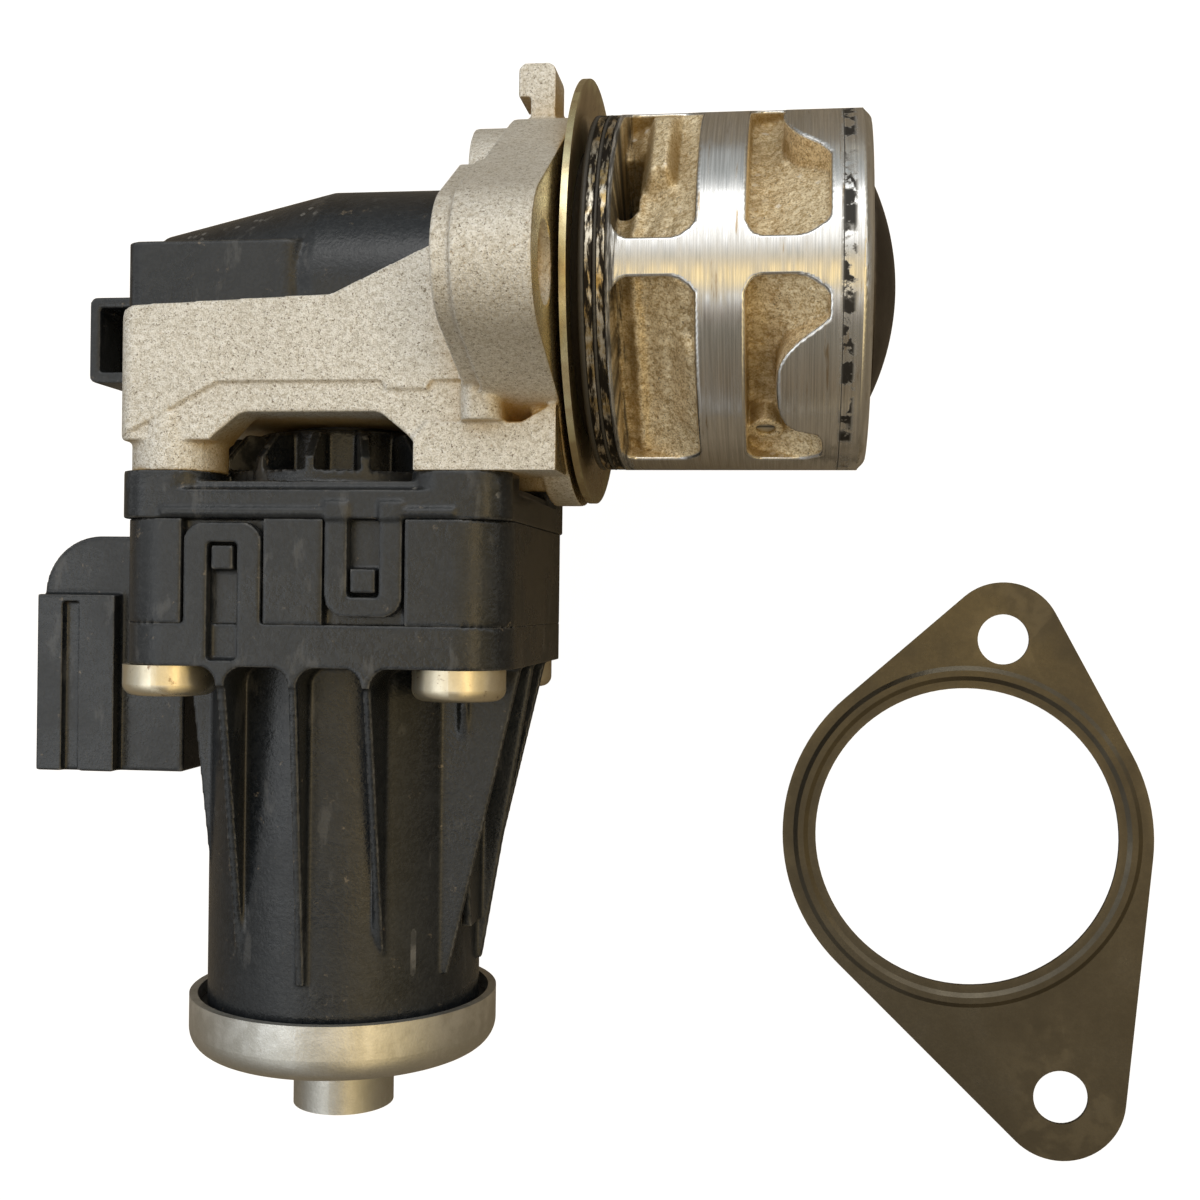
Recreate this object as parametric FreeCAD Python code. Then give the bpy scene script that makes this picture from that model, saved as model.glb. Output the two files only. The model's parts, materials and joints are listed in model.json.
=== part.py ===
import FreeCAD, Part
import math
import os

# Valve with an electric motor, lying on its back as it is photographed. Millimetres.
# The origin is on the spigot's axis at the flange's sealing face.
# +X runs out along the spigot, +Y points away from the motor, +Z towards the front bolt ear.

# Clearances
slip = 0.02
running_gap = 0.03
free_gap = 0.3
loose_gap = 0.6

# Flange and its two bolt ears, shared with the gasket
flange_thickness = 9.0
flange_ring_radius = 24.8
flange_collar_drop = 6.0
flange_collar_radius = 24.3
flange_collar_thickness = 4.0
front_ear_reach = 34.5
front_ear_radius = 9.8
front_ear_thickness = 12.4
front_ear_band_inset = 0.8
front_ear_band_front = 9.9
front_ear_thick_depth = 16.6
front_ear_top = 11.5
front_ear_angle = -4.5
back_ear_reach = 46.9
back_ear_radius = 10.8
back_ear_spread = 149.6
back_boss_length = 24.0
ear_root_left = -13.0
ear_root_width = 5.6
ear_root_top = -7.0
ear_root_bottom = -20.6
ear_root_front = 24.6
ear_root_depth = 14.0
ear_root_round = 2.0
bolt_hole_radius = 4.3
bolt_countersink_radius = 5.2
bolt_countersink_depth = 1.2

# Cage, the spigot that goes into the manifold
cage_radius = 25.0
cage_length = 40.2
cage_root_start = 2.5
cage_chamfer = 1.1
cage_tail_radius = 20.0
cage_tail_length = 6.9
cage_tail_wall = 6.5
window_half_width = 14.0
window_corner_radius = 2.2
left_window_start = 6.7
left_window_length = 10.8
right_window_start = 24.0
right_window_length = 10.7
window_row_angle = 40.6
port_half_width = 7.0
left_floor_start = 18.0
left_floor_end = 21.2
right_floor_start = 18.6
right_floor_end = 21.4
root_ring_first = 3.4
root_ring_pitch = 1.6
root_ring_width = 1.0
root_ring_depth = 1.1
core_gap = 2.9
port_corner_radius = 1.2
# Edges of the cast lands, as shares of a window's length and half width
crescent_edge = [
    (1.09, 0.76), (0.91, 0.61), (0.74, 0.52), (0.52, 0.38), (0.41, 0.25), (0.37, 0.06),
    (0.38, -0.18), (0.49, -0.43), (0.67, -0.54), (0.86, -0.58), (0.94, -0.75), (0.97, -1.1),
]
corner_edge = [
    (0.41, 1.1), (0.42, 0.6), (0.45, 0.36), (0.50, 0.26), (0.67, 0.07), (0.84, -0.04),
    (0.96, -0.15), (1.06, -0.31),
]
# Angle of each pair of windows, the edge of its land, and which of the two is ported
window_rows = [
    (-window_row_angle, crescent_edge, False, False),
    (window_row_angle, corner_edge, True, False),
    (180.0 - window_row_angle, corner_edge, True, True),
    (180.0 + window_row_angle, corner_edge, True, True),
]
set_screw_radius = 1.3
set_screw_angle = -65.0
set_screw_boss_radius = 2.5
set_screw_boss_drop = 2.4
set_screw_sink = 0.6
set_screw_slot_width = 0.5
set_screw_slot_depth = 0.6

# Steel disc between the flange and the cage
disc_radius = 29.9
disc_thickness = 0.9
disc_dish = 0.9

# Stem, seats and poppets
stem_radius = 3.0
mid_seat_bore = 11.0
mid_seat_width = 2.0
mid_seat_start = 20.4
mid_poppet_radius = 12.4
mid_poppet_thickness = 2.6
end_seat_bore = 13.2
end_seat_width = 3.2
end_seat_inset = 2.0
end_seat_lip = 0.4
seat_length = 3.6
seat_chamfer = 0.8
end_poppet_radius = 15.0
end_poppet_rim = 2.6
dome_height = 3.4
guide_bush_radius = 5.5
guide_bush_end = -2.0
stem_seal_radius = 8.0
stem_seal_length = 2.2

# Footprint shared by gear cover, gear case and motor flange, and the joints between them
case_left = -61.3
case_right = -6.8
case_front = 22.0
case_back = -29.0
case_corner_radius = 7.0
case_wall = 2.0
arm_foot_y = -27.0
cover_case_y = -33.5
case_housing_y = -47.7
housing_flange_y = -53.5
case_floor = 1.5
cover_deck_drop = 2.6
cover_ledge_inset = 1.2
cover_ledge_drop = 1.4
cover_pad_reach = 1.0
cover_pad_radius = 4.5
wheel_room = 2.0
pinion_room = 1.6
pin_boss_wall = 1.4
pin_hole_floor = 0.4
plug_shelf_width = 1.0
plug_shelf_gap = 1.4

# Screws through the stack
screw_left_x = -55.6
screw_right_x = -14.4
screw_front_z = 15.5
screw_back_z = -22.5
screw_radius = 2.4
screw_head_radius = 6.4
screw_head_height = 4.3
screw_head_round = 1.6
screw_drive_radius = 2.6
screw_drive_depth = 2.2
screw_reach = 6.5
screw_pillar_radius = 4.8

# Arm of the valve body
arm_left = -60.9
arm_top = -4.6
arm_corner = 2.2
arm_deck_bottom = -19.2
arm_skirt_bottom = -22.9
arm_web_thickness = 6.0
arm_foot_width = 12.7
arm_foot_radius = 6.5
foot_block_depth = 13.5
foot_block_top = -20.6
foot_block_tip = -17.9
foot_block_slope = 4.6
foot_block_corner = 2.0
right_foot_left = -19.6
right_foot_right = -0.4
arch_slope_width = 4.7
arch_slope_height = 3.8
arch_radius = 2.6
parting_step = 0.4
parting_left_y = -22.6
parting_bend_x = -46.7
parting_y = -15.0
notch_left = -23.9
notch_right = -17.8
notch_slope = 0.6
notch_depth = 1.1
diagonal_start_x = -31.0
diagonal_start_y = -3.5
diagonal_end_x = -16.5
diagonal_end_y = 3.3
neck_radius = 12.5
neck_left = -20.8
chamber_left = -47.0
chamber_floor = -11.0
chamber_front = 10.5
chamber_back = -13.0
top_lug_reach = 32.8
top_lug_left = -9.4
top_lug_width = 5.4
top_lug_head_depth = 4.8
top_lug_stem_width = 3.6
top_lug_half_depth = 4.0
top_lug_round = 1.2

# Motor axis and gears
motor_x = -35.8
motor_z = -4.0
gear_module = 0.75
pinion_teeth = 10
wheel_teeth = 30
pressure_angle = 25.0
backlash_per_flank = 0.06
addendum_factor = 0.8
dedendum_factor = 1.05
mid_gear_direction = 10.0
wheel_thickness = 3.7
intermediate_pin_radius = 1.5

# Output shaft, crank and yoke
output_shaft_radius = 4.0
output_travel = 54.0
crank_radius = 6.5
crank_thickness = 4.2
crank_hub_radius = 6.2
roller_radius = 2.4
yoke_socket_wall = 1.6
yoke_socket_length = 6.0
yoke_pin_radius = 0.8
crank_pin_radius = 1.2
slot_clearance = 0.2
yoke_wall = 3.0
yoke_thickness = 5.0

# Tower of the gear cover
tower_radius = 20.0
tower_hub_radius = 13.5
tower_rib_count = 16
tower_rib_thickness = 1.4
tower_wall = 2.0
tower_top = -20.2
bush_wall = 1.6
bush_length = 6.0
shaft_seal_wall = 4.0
gear_hub_wall = 2.2
gear_hub_height = 1.2
magnet_ring_wall = 2.8
spring_wire_radius = 0.6
spring_pitch = 1.32
spring_turns = 3
spring_clearance = 2.4

# Motor
can_radius = 18.2
can_wall = 1.2
core_wall = 1.9
magnet_thickness = 3.0
magnet_span = 130.0
air_gap = 0.6
stack_length = 26.0
stack_slots = 7
stack_slot_radius = 2.4
stack_slot_mouth = 1.2
winding_bar_radius = 2.3
winding_overhang = 3.2
rotor_shaft_radius = 1.6
commutator_radius = 4.2
commutator_length = 5.6
commutator_groove_depth = 0.8
commutator_groove_width = 0.4
brush_inset = 1.0
brush_length = 6.5
brush_half_width = 1.6
brush_spring_thickness = 0.5
brush_holder_wall = 0.9
bearing_wall = 2.0
bearing_boss_wall = 2.0
fin_thickness = 1.2
fin_root_radius = 2.6
fin_end_gap = 5.1
left_fin_length = 31.0
left_fin_sink = 0.3
left_outer_fin_inset = 4.0
outer_fin_gap = 4.0
middle_fin_end = 2.0
outer_fin_end = 1.0
side_fin_end = 0.8
side_fin_inset = 0.7
corner_fin_gap = 6.0
corner_fin_share = 0.7
bearing_land = 1.6
housing_well_wall = 4.0
bearing_boss_drop = 1.2
fin_pitch = 10.1
housing_end_y = -107.6
end_cap_gap = 1.4
end_cap_wall = 1.2
end_cap_rim_y = -102.3
end_cap_bottom_y = -110.6
end_cap_round = 3.6
cap_seal_depth = 2.0
cap_seal_height = 2.0
nub_radius = 7.45
nub_length = 8.9

# Plug socket on the gear case
plug_gap = 0.6
plug_width = 22.6
plug_step_width = 12.5
plug_bottom = -71.0
plug_top = -35.0
plug_arch_radius = 9.0
plug_back = -17.5
plug_front = -1.5
plug_step = 2.5
plug_wall = 1.8
plug_socket_depth = 20.0
plug_groove_start = 4.2
plug_groove_width = 2.6
plug_groove_depth = 1.0
plug_cavity_corner = 1.5
terminal_inset = 2.2
terminal_tip_depth = 6.0
terminal_count = 5
terminal_pitch = 2.5
terminal_width = 0.8
terminal_thickness = 0.6

# Linkage cover
hood_radius = 15.4
hood_small_radius = 9.6
hood_left = -62.0
hood_taper_end = -36.0
hood_right = -12.4
cover_wall = 1.6
cover_box_left = -63.1
cover_box_right = -37.6
cover_box_top = 5.6
cover_box_front = 15.5
cover_seal_thickness = 0.5
side_frame_left = -74.5
side_frame_top = 0.5
side_frame_bottom = -12.3
side_frame_front = 2.5
side_frame_depth = 10.0

# Latches
latch_thickness = 1.7
latch_recess = 1.9
latch_corner = 2.8
latch_tab_height = 2.2
cover_lip_proud = 0.4
cover_lip_height = 0.6
cover_latch_left = -31.5
cover_latch_right = -20.9
cover_latch_leg = 3.1
cover_latch_end_y = -46.6
housing_latch_left = -51.2
housing_latch_right = -40.3
housing_latch_leg = 3.4
housing_latch_end_y = -34.0
latch_bar = 2.7
latch_slot_floor = 0.9
latch_nub_gap = 0.5
latch_nub_height = 3.2

# Gasket lying loose beside the valve
gasket_thickness = 0.8
gasket_bore_radius = 25.5
gasket_ring_radius = 31.2
gasket_bead_height = 0.4
gasket_bead_offset = 2.6
gasket_bead_half_width = 1.3
gasket_bead_top_half_width = 0.5
gasket_far_hole_extra = 0.25
gasket_x = 60.2
gasket_y = -83.8
gasket_front_ear_angle = 80.06

# Worked out once from the sizes above
front_ear_y = front_ear_reach * math.sin(math.radians(front_ear_angle))
front_ear_z = front_ear_reach * math.cos(math.radians(front_ear_angle))
back_ear_y = back_ear_reach * math.sin(math.radians(front_ear_angle + back_ear_spread))
back_ear_z = back_ear_reach * math.cos(math.radians(front_ear_angle + back_ear_spread))
floor_z = back_ear_z - back_ear_radius
disc_front = disc_dish + disc_thickness
mid_seat_radius = mid_seat_bore + mid_seat_width
end_seat_radius = end_seat_bore + end_seat_width
end_seat_start = cage_length - end_seat_inset - seat_length
core_radius = can_radius + core_wall
end_cap_radius = core_radius + end_cap_gap + end_cap_wall
set_screw_x = right_window_start + set_screw_boss_radius
set_screw_boss_top = cage_radius - set_screw_boss_drop
seat_face = mid_seat_start + seat_length
end_face = end_seat_start + seat_length
wheel_pitch_radius = gear_module * wheel_teeth / 2
pinion_pitch_radius = gear_module * pinion_teeth / 2
centre_distance = wheel_pitch_radius + pinion_pitch_radius
mid_gear_x = motor_x + centre_distance * math.cos(math.radians(mid_gear_direction))
mid_gear_z = motor_z + centre_distance * math.sin(math.radians(mid_gear_direction))
floor_top_y = case_housing_y + case_floor
pinion_bottom_y = floor_top_y + free_gap
big_wheel_bottom_y = floor_top_y + loose_gap
big_wheel_top_y = big_wheel_bottom_y + wheel_thickness
pinion_top_y = big_wheel_top_y + free_gap
output_gear_bottom_y = big_wheel_top_y + free_gap + loose_gap + slip
output_gear_top_y = output_gear_bottom_y + wheel_thickness
small_wheel_top_y = output_gear_top_y + free_gap
crank_rest_angle = -output_travel / 2
crank_pin_x = motor_x + crank_radius * math.sin(math.radians(crank_rest_angle))
crank_pin_z = motor_z + crank_radius * math.cos(math.radians(crank_rest_angle))
crank_pin_swing = crank_radius * (1 - math.cos(math.radians(output_travel / 2)))
yoke_socket_radius = stem_radius + yoke_socket_wall
crank_top_y = -yoke_socket_radius - loose_gap
crank_bottom_y = crank_top_y - crank_thickness
roller_bottom_y = crank_top_y + free_gap
roller_top_y = yoke_thickness / 2 + loose_gap
yoke_half_width = roller_radius + slot_clearance + yoke_wall
stem_end_x = crank_pin_x + yoke_half_width + 0.2
yoke_pin_x = crank_pin_x + yoke_half_width + yoke_socket_length / 2
can_inner_radius = can_radius - can_wall
magnet_inner_radius = can_inner_radius - magnet_thickness
stack_radius = magnet_inner_radius - air_gap
cap_floor_y = end_cap_bottom_y + end_cap_wall
can_top_y = housing_flange_y - 2.5
brush_plate_top_y = can_top_y + 1.9
commutator_top_y = can_top_y - 0.8
commutator_bottom_y = commutator_top_y - commutator_length
stack_top_y = commutator_bottom_y - 4.0
stack_bottom_y = stack_top_y - stack_length
plug_right = case_left - plug_gap
plug_left = plug_right - plug_width
plug_step_x = plug_left + plug_step_width
plug_middle_z = (plug_back + plug_front - plug_step) / 2
terminal_bend_y = -41.4
board_bottom_y = -36.6
board_thickness = 1.2
screw_places = [
    (screw_left_x, screw_front_z),
    (screw_right_x, screw_front_z),
    (screw_left_x, screw_back_z),
    (screw_right_x, screw_back_z),
]


# Small shape makers

def vec(x, y, z):
    return FreeCAD.Vector(x, y, z)


axis_x = vec(1, 0, 0)
axis_y = vec(0, 1, 0)
axis_z = vec(0, 0, 1)


def box(x0, x1, y0, y1, z0, z1):
    return Part.makeBox(x1 - x0, y1 - y0, z1 - z0, vec(x0, y0, z0))


def rounded_box(x0, x1, y0, y1, z0, z1, radius, along):
    solid = box(x0, x1, y0, y1, z0, z1)
    edges = [e for e in solid.Edges if abs(e.tangentAt(e.FirstParameter).dot(along)) > 0.99]
    return solid.makeFillet(radius, edges)


def rod_x(radius, x0, x1, y=0.0, z=0.0):
    return Part.makeCylinder(radius, x1 - x0, vec(x0, y, z), axis_x)


def rod_y(radius, y0, y1, x, z):
    return Part.makeCylinder(radius, y1 - y0, vec(x, y0, z), axis_y)


def rod_z(radius, z0, z1, x, y):
    return Part.makeCylinder(radius, z1 - z0, vec(x, y, z0), axis_z)


def ring_x(outer, inner, x0, x1):
    return rod_x(outer, x0, x1).cut(rod_x(inner, x0 - 1, x1 + 1))


def ring_y(outer, inner, y0, y1, x, z):
    return rod_y(outer, y0, y1, x, z).cut(rod_y(inner, y0 - 1, y1 + 1, x, z))


def join(first, *others):
    return first.multiFuse(list(others)).removeSplitter()


def cut(first, *others):
    return first.cut(list(others)).removeSplitter()


def face_of(points):
    return Part.Face(Part.makePolygon(points + [points[0]]))


def turned_x(profile):
    # The profile holds (x, radius) pairs.
    face = face_of([vec(x, r, 0) for x, r in profile])
    return face.revolve(vec(0, 0, 0), axis_x, 360)


def plate_z(points, z0, z1):
    # A flat outline of (x, y) pairs, made into a plate between two heights.
    return face_of([vec(x, y, z0) for x, y in points]).extrude(vec(0, 0, z1 - z0))


def belt(circles, place):
    # The outline of a band pulled round circles, given anticlockwise as (u, v, radius).
    count = len(circles)
    leaving = []
    arriving = [None] * count
    for i in range(count):
        u0, v0, r0 = circles[i]
        u1, v1, r1 = circles[(i + 1) % count]
        length = math.hypot(u1 - u0, v1 - v0)
        angle = math.atan2(v1 - v0, u1 - u0) - math.acos((r0 - r1) / length)
        leaving.append(angle)
        arriving[(i + 1) % count] = angle
    edges = []
    for i in range(count):
        u, v, r = circles[i]
        start = arriving[i]
        end = leaving[i]
        while end < start:
            end += 2 * math.pi
        middle = (start + end) / 2
        spots = [place(u + r * math.cos(a), v + r * math.sin(a)) for a in (start, middle, end)]
        edges.append(Part.Arc(*spots).toShape())
        nu, nv, nr = circles[(i + 1) % count]
        far = place(nu + nr * math.cos(leaving[i]), nv + nr * math.sin(leaving[i]))
        edges.append(Part.LineSegment(spots[2], far).toShape())
    return Part.Face(Part.Wire(edges))


def eared_plate(circle, ears, place, thickness):
    # A round plate drawn out towards each of its bolt ears.
    return join(*[belt([circle, ear], place).extrude(thickness) for ear in ears])


def gear_shape(teeth, x, z, y0, y1, first_tooth):
    # Straight spur gear with its axis along Y. Angles run from +X towards +Z.
    pitch = gear_module * teeth / 2
    base = pitch * math.cos(math.radians(pressure_angle))
    tip = pitch + addendum_factor * gear_module
    root = pitch - dedendum_factor * gear_module
    start = max(base, root)

    def opening(radius):
        # How far the flank has turned away from the tooth's centre line.
        angle = math.acos(min(1.0, base / radius))
        at_pitch = math.radians(pressure_angle)
        half_tooth = math.pi / (2 * teeth) - backlash_per_flank / pitch
        return half_tooth + (math.tan(at_pitch) - at_pitch) - (math.tan(angle) - angle)

    def spot(radius, angle):
        return vec(x + radius * math.cos(angle), y0, z + radius * math.sin(angle))

    middle = (start + tip) / 2
    step = 2 * math.pi / teeth
    edges = []
    for i in range(teeth):
        centre = math.radians(first_tooth) + i * step
        rising = [spot(r, centre - opening(r)) for r in (start, middle, tip)]
        falling = [spot(r, centre + opening(r)) for r in (tip, middle, start)]
        root_in = spot(root, centre - opening(start))
        root_out = spot(root, centre + opening(start))
        root_middle = spot(root, centre + step / 2)
        root_next = spot(root, centre + step - opening(start))
        if start > root:
            edges.append(Part.LineSegment(root_in, rising[0]).toShape())
        edges.append(Part.Arc(*rising).toShape())
        edges.append(Part.Arc(rising[2], spot(tip, centre), falling[0]).toShape())
        edges.append(Part.Arc(*falling).toShape())
        if start > root:
            edges.append(Part.LineSegment(falling[2], root_out).toShape())
        edges.append(Part.Arc(root_out, root_middle, root_next).toShape())
    face = Part.Face(Part.Wire(edges))
    return face.extrude(vec(0, y1 - y0, 0))


def turned_round_x(shape, degrees):
    # Positive degrees carry +Z towards +Y.
    copy = shape.copy()
    copy.rotate(vec(0, 0, 0), axis_x, -degrees)
    return copy


# Casting and cage

def flange_plate():
    circle = (0.0, 0.0, flange_ring_radius)
    front_ear = (front_ear_y, front_ear_z, front_ear_radius)
    back_ear = (back_ear_y, back_ear_z, back_ear_radius)
    plate = eared_plate(circle, [front_ear, back_ear], lambda y, z: vec(-flange_thickness, y, z),
                        vec(flange_thickness, 0, 0))
    inner_circle = (0.0, 0.0, flange_ring_radius - front_ear_band_inset)
    inner_ear = (front_ear_y, front_ear_z, front_ear_radius - front_ear_band_inset)
    pad = eared_plate(circle, [front_ear], lambda y, z: vec(-front_ear_band_front, y, z),
                      vec(front_ear_band_front, 0, 0))
    band = eared_plate(inner_circle, [inner_ear], lambda y, z: vec(-front_ear_thickness, y, z),
                       vec(front_ear_thickness, 0, 0))
    reach = 2 * back_ear_reach
    ear_start = front_ear_z - front_ear_thick_depth
    ear = join(pad, band).common(box(-front_ear_thickness, 0, -reach, front_ear_top, ear_start, reach))
    root = rounded_box(ear_root_left, ear_root_left + ear_root_width, ear_root_bottom, ear_root_top,
                       ear_root_front - ear_root_depth, ear_root_front, ear_root_round, axis_y)
    boss = rod_x(back_ear_radius - 1, -back_boss_length, 0, back_ear_y, back_ear_z)
    lug_right = top_lug_left + top_lug_width
    lug_stem_left = lug_right - top_lug_stem_width
    lug_head_bottom = top_lug_reach - top_lug_head_depth
    lug = plate_z([
        (lug_stem_left, 0),
        (lug_stem_left, lug_head_bottom),
        (top_lug_left, lug_head_bottom),
        (top_lug_left, top_lug_reach),
        (lug_right, top_lug_reach),
        (lug_right, 0),
    ], -top_lug_half_depth, top_lug_half_depth)
    top_edges = [e for e in lug.Edges
                 if e.BoundBox.YMin > top_lug_reach - 0.01 and e.Length > top_lug_width]
    collar = rod_x(flange_collar_radius, -flange_collar_thickness, 0, -flange_collar_drop, 0)
    return join(plate, collar, ear, root, boss, lug.makeFillet(top_lug_round, top_edges))


def arm_profile(bottom, x1):
    # Outline of the arm's top, with its left corner taken off, down to the points given as bottom.
    return [
        (arm_left, arm_top - arm_corner),
        (arm_left + 0.3 * arm_corner, arm_top - 0.3 * arm_corner),
        (arm_left + arm_corner, arm_top),
        (diagonal_start_x, diagonal_start_y),
        (diagonal_end_x, diagonal_end_y),
        (x1, diagonal_end_y),
    ] + bottom


def front_left_rounded(plate, front):
    left_edges = [e for e in plate.Edges if e.BoundBox.XMax < arm_left + 0.01 and e.Length > arm_corner]
    return plate.makeFillet(arm_corner, [e for e in left_edges if e.BoundBox.ZMin > front - 0.01])


def arm_web():
    # The upper part of the arm's front, which ends at the casting's stepped parting line.
    back = case_front - arm_web_thickness
    bottom = [
        (-flange_thickness, parting_y),
        (notch_right + notch_slope, parting_y),
        (notch_right, parting_y - notch_depth),
        (notch_left + notch_slope, parting_y - notch_depth),
        (notch_left, parting_y),
        (parting_bend_x, parting_y),
        (arm_left, parting_left_y),
    ]
    return front_left_rounded(plate_z(arm_profile(bottom, -flange_thickness), back, case_front), case_front)


def arch_cutter():
    left = arm_left + arm_foot_width
    shoulder = arm_deck_bottom - arch_slope_height
    cutter = plate_z([
        (left, arm_foot_y - 1),
        (left, shoulder),
        (left + arch_slope_width, arm_deck_bottom),
        (right_foot_left - arch_slope_width, arm_deck_bottom),
        (right_foot_left, shoulder),
        (right_foot_left, arm_foot_y - 1),
    ], case_back - 1, case_front + 1)
    corners = [e for e in cutter.Edges
               if abs(e.tangentAt(e.FirstParameter).dot(axis_z)) > 0.99 and e.BoundBox.YMin > arm_foot_y]
    return cutter.makeFillet(arch_radius, corners)


def arm_block():
    front = case_front - parting_step
    back = case_front - arm_web_thickness
    bottom = [(-flange_thickness, arm_skirt_bottom), (arm_left, arm_skirt_bottom)]
    apron = front_left_rounded(plate_z(arm_profile(bottom, -flange_thickness), back, front), front)
    deck = box(arm_left, -flange_thickness, arm_skirt_bottom, arm_top, case_back, back)
    side_gap = box(arm_left - 1, -flange_thickness, arm_foot_y - 1, arm_deck_bottom,
                   case_back + arm_foot_width, case_front - arm_foot_width)
    arm = cut(join(deck, apron, arm_web()), arch_cutter(), side_gap)
    foot_block = plate_z([
        (right_foot_left, arm_foot_y),
        (right_foot_left, foot_block_top - foot_block_corner),
        (right_foot_left + foot_block_corner, foot_block_top),
        (right_foot_right - foot_block_slope, foot_block_top),
        (right_foot_right, foot_block_tip),
        (right_foot_right, arm_foot_y),
    ], case_front - foot_block_depth, case_front)
    left_foot_x = arm_left + arm_foot_radius
    foot_places = [
        (left_foot_x, case_front - arm_foot_radius),
        (left_foot_x, case_back + arm_foot_radius),
        (screw_right_x, screw_back_z),
    ]
    feet = [rod_y(arm_foot_radius, arm_foot_y, arm_deck_bottom, x, z) for x, z in foot_places]
    return join(arm, foot_block, *feet)


def valve_body():
    neck = rod_x(neck_radius, neck_left, -flange_thickness / 2)
    saddle = box(neck_left, -flange_thickness / 2, arm_deck_bottom, 0, -neck_radius, neck_radius)
    body = join(flange_plate(), arm_block(), neck, saddle)
    chamber = rounded_box(chamber_left, neck_left, chamber_floor, neck_radius + 1,
                          chamber_back, chamber_front, 3, axis_y)
    bush_seat = rod_x(guide_bush_radius + slip, neck_left - 1, 1)
    tower_room = rod_y(tower_radius + loose_gap, arm_foot_y - 1, arm_deck_bottom, motor_x, motor_z)
    below_feet = box(-back_boss_length - 40, case_right + loose_gap, -2 * disc_radius, arm_foot_y,
                     case_back - loose_gap, case_front + loose_gap)
    seal_seat = rod_x(stem_seal_radius + slip, neck_left - 1, neck_left + stem_seal_length + 1)
    tail_seat = ring_x(cage_tail_radius + slip, guide_bush_radius + 3, -cage_tail_length - slip, 1)
    boss_end = rod_x(guide_bush_radius + 4, guide_bush_end, 1)
    shaft_hole = rod_y(output_shaft_radius + bush_wall + slip, arm_deck_bottom - 1, chamber_floor + 1,
                       motor_x, motor_z)
    cuts = [chamber, bush_seat, seal_seat, tail_seat, boss_end, shaft_hole, tower_room, below_feet]
    front_hole = rod_x(bolt_hole_radius, -back_boss_length - 5, 1, front_ear_y, front_ear_z)
    back_hole = rod_x(bolt_hole_radius, -back_boss_length - 1, 1, back_ear_y, back_ear_z)
    sink = Part.makeCone(bolt_hole_radius, bolt_countersink_radius, bolt_countersink_depth,
                         vec(-bolt_countersink_depth, front_ear_y, front_ear_z), axis_x)
    cuts += [front_hole, back_hole, sink]
    for x, z in screw_places:
        cuts.append(rod_y(screw_radius + slip, arm_foot_y - 1, arm_foot_y + screw_reach + 1, x, z))
    return cut(body, *cuts)


def window_cutter(start, length, floor_start, floor_end, ported):
    # A pocket with a slanted floor. A ported one has a deep end that opens into the bore.
    outer = cage_radius + 3
    block = rounded_box(start, start + length, -window_half_width, window_half_width, 0, outer,
                        window_corner_radius, axis_z)
    profile = face_of([
        vec(start, -cage_radius, floor_start),
        vec(start + core_gap, -cage_radius, floor_start),
        vec(start + length, -cage_radius, floor_end),
        vec(start + length, -cage_radius, outer),
        vec(start, -cage_radius, outer),
    ])
    pocket = block.common(profile.extrude(vec(0, 2 * cage_radius, 0)))
    if not ported:
        return pocket
    deep = rounded_box(start, start + core_gap, -port_half_width, port_half_width,
                       stem_radius + loose_gap, floor_start + 1, port_corner_radius, axis_z)
    return join(pocket, deep)


def window_land(shares):
    # Cast metal left flush with the barrel over the far end of a window. The edge is a smooth
    # curve through (length, half width) shares of the window.
    ends = right_window_start + right_window_length + window_corner_radius
    points = []
    for along, across in shares:
        x = right_window_start + along * right_window_length
        points.append(vec(x, across * window_half_width, 0))
    curve = Part.BSplineCurve()
    curve.interpolate(points)
    first, last = points[0], points[-1]
    corners = [last, vec(ends, last.y, 0), vec(ends, first.y, 0), first]
    edges = [curve.toShape()]
    for a, b in zip(corners, corners[1:]):
        edges.append(Part.makeLine(a, b))
    return Part.Face(Part.Wire(edges)).extrude(vec(0, 0, cage_radius + 4))


def valve_cage():
    seat_room = mid_seat_radius + slip
    end_room = end_seat_radius + slip
    end_bore = end_seat_bore + end_seat_lip
    barrel = turned_x([
        (cage_root_start, stem_radius + loose_gap),
        (cage_root_start, cage_radius),
        (cage_length - cage_chamfer, cage_radius),
        (cage_length, cage_radius - cage_chamfer),
        (cage_length, end_room),
        (end_seat_start, end_room),
        (end_seat_start, end_bore),
        (seat_face, end_bore),
        (seat_face, seat_room),
        (mid_seat_start, seat_room),
        (mid_seat_start, mid_seat_bore),
        (left_window_start, mid_seat_bore),
        (left_window_start, stem_radius + loose_gap),
    ])
    cutters = []
    for angle, edge, left_ported, right_ported in window_rows:
        left = window_cutter(left_window_start, left_window_length,
                             left_floor_start, left_floor_end, left_ported)
        right = window_cutter(right_window_start, right_window_length,
                              right_floor_start, right_floor_end, right_ported)
        cutters.append(turned_round_x(left, angle))
        cutters.append(turned_round_x(cut(right, window_land(edge)), angle))
    tail = ring_x(cage_tail_radius, cage_tail_radius - cage_tail_wall, -cage_tail_length, cage_root_start)
    boss = rod_z(set_screw_boss_radius, end_bore, set_screw_boss_top, set_screw_x, 0)
    hole = rod_z(set_screw_radius + slip, mid_seat_radius + 2, cage_radius, set_screw_x, 0)
    grooves = []
    for start in root_ring_starts():
        end = start + root_ring_width
        grooves.append(ring_x(cage_radius + 1, cage_radius - root_ring_depth, start, end))
    cage = join(cut(barrel, *cutters), tail, turned_round_x(boss, set_screw_angle))
    return cut(cage, turned_round_x(hole, set_screw_angle), *grooves)


def root_ring_starts():
    return [root_ring_first, root_ring_first + root_ring_pitch]


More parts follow.
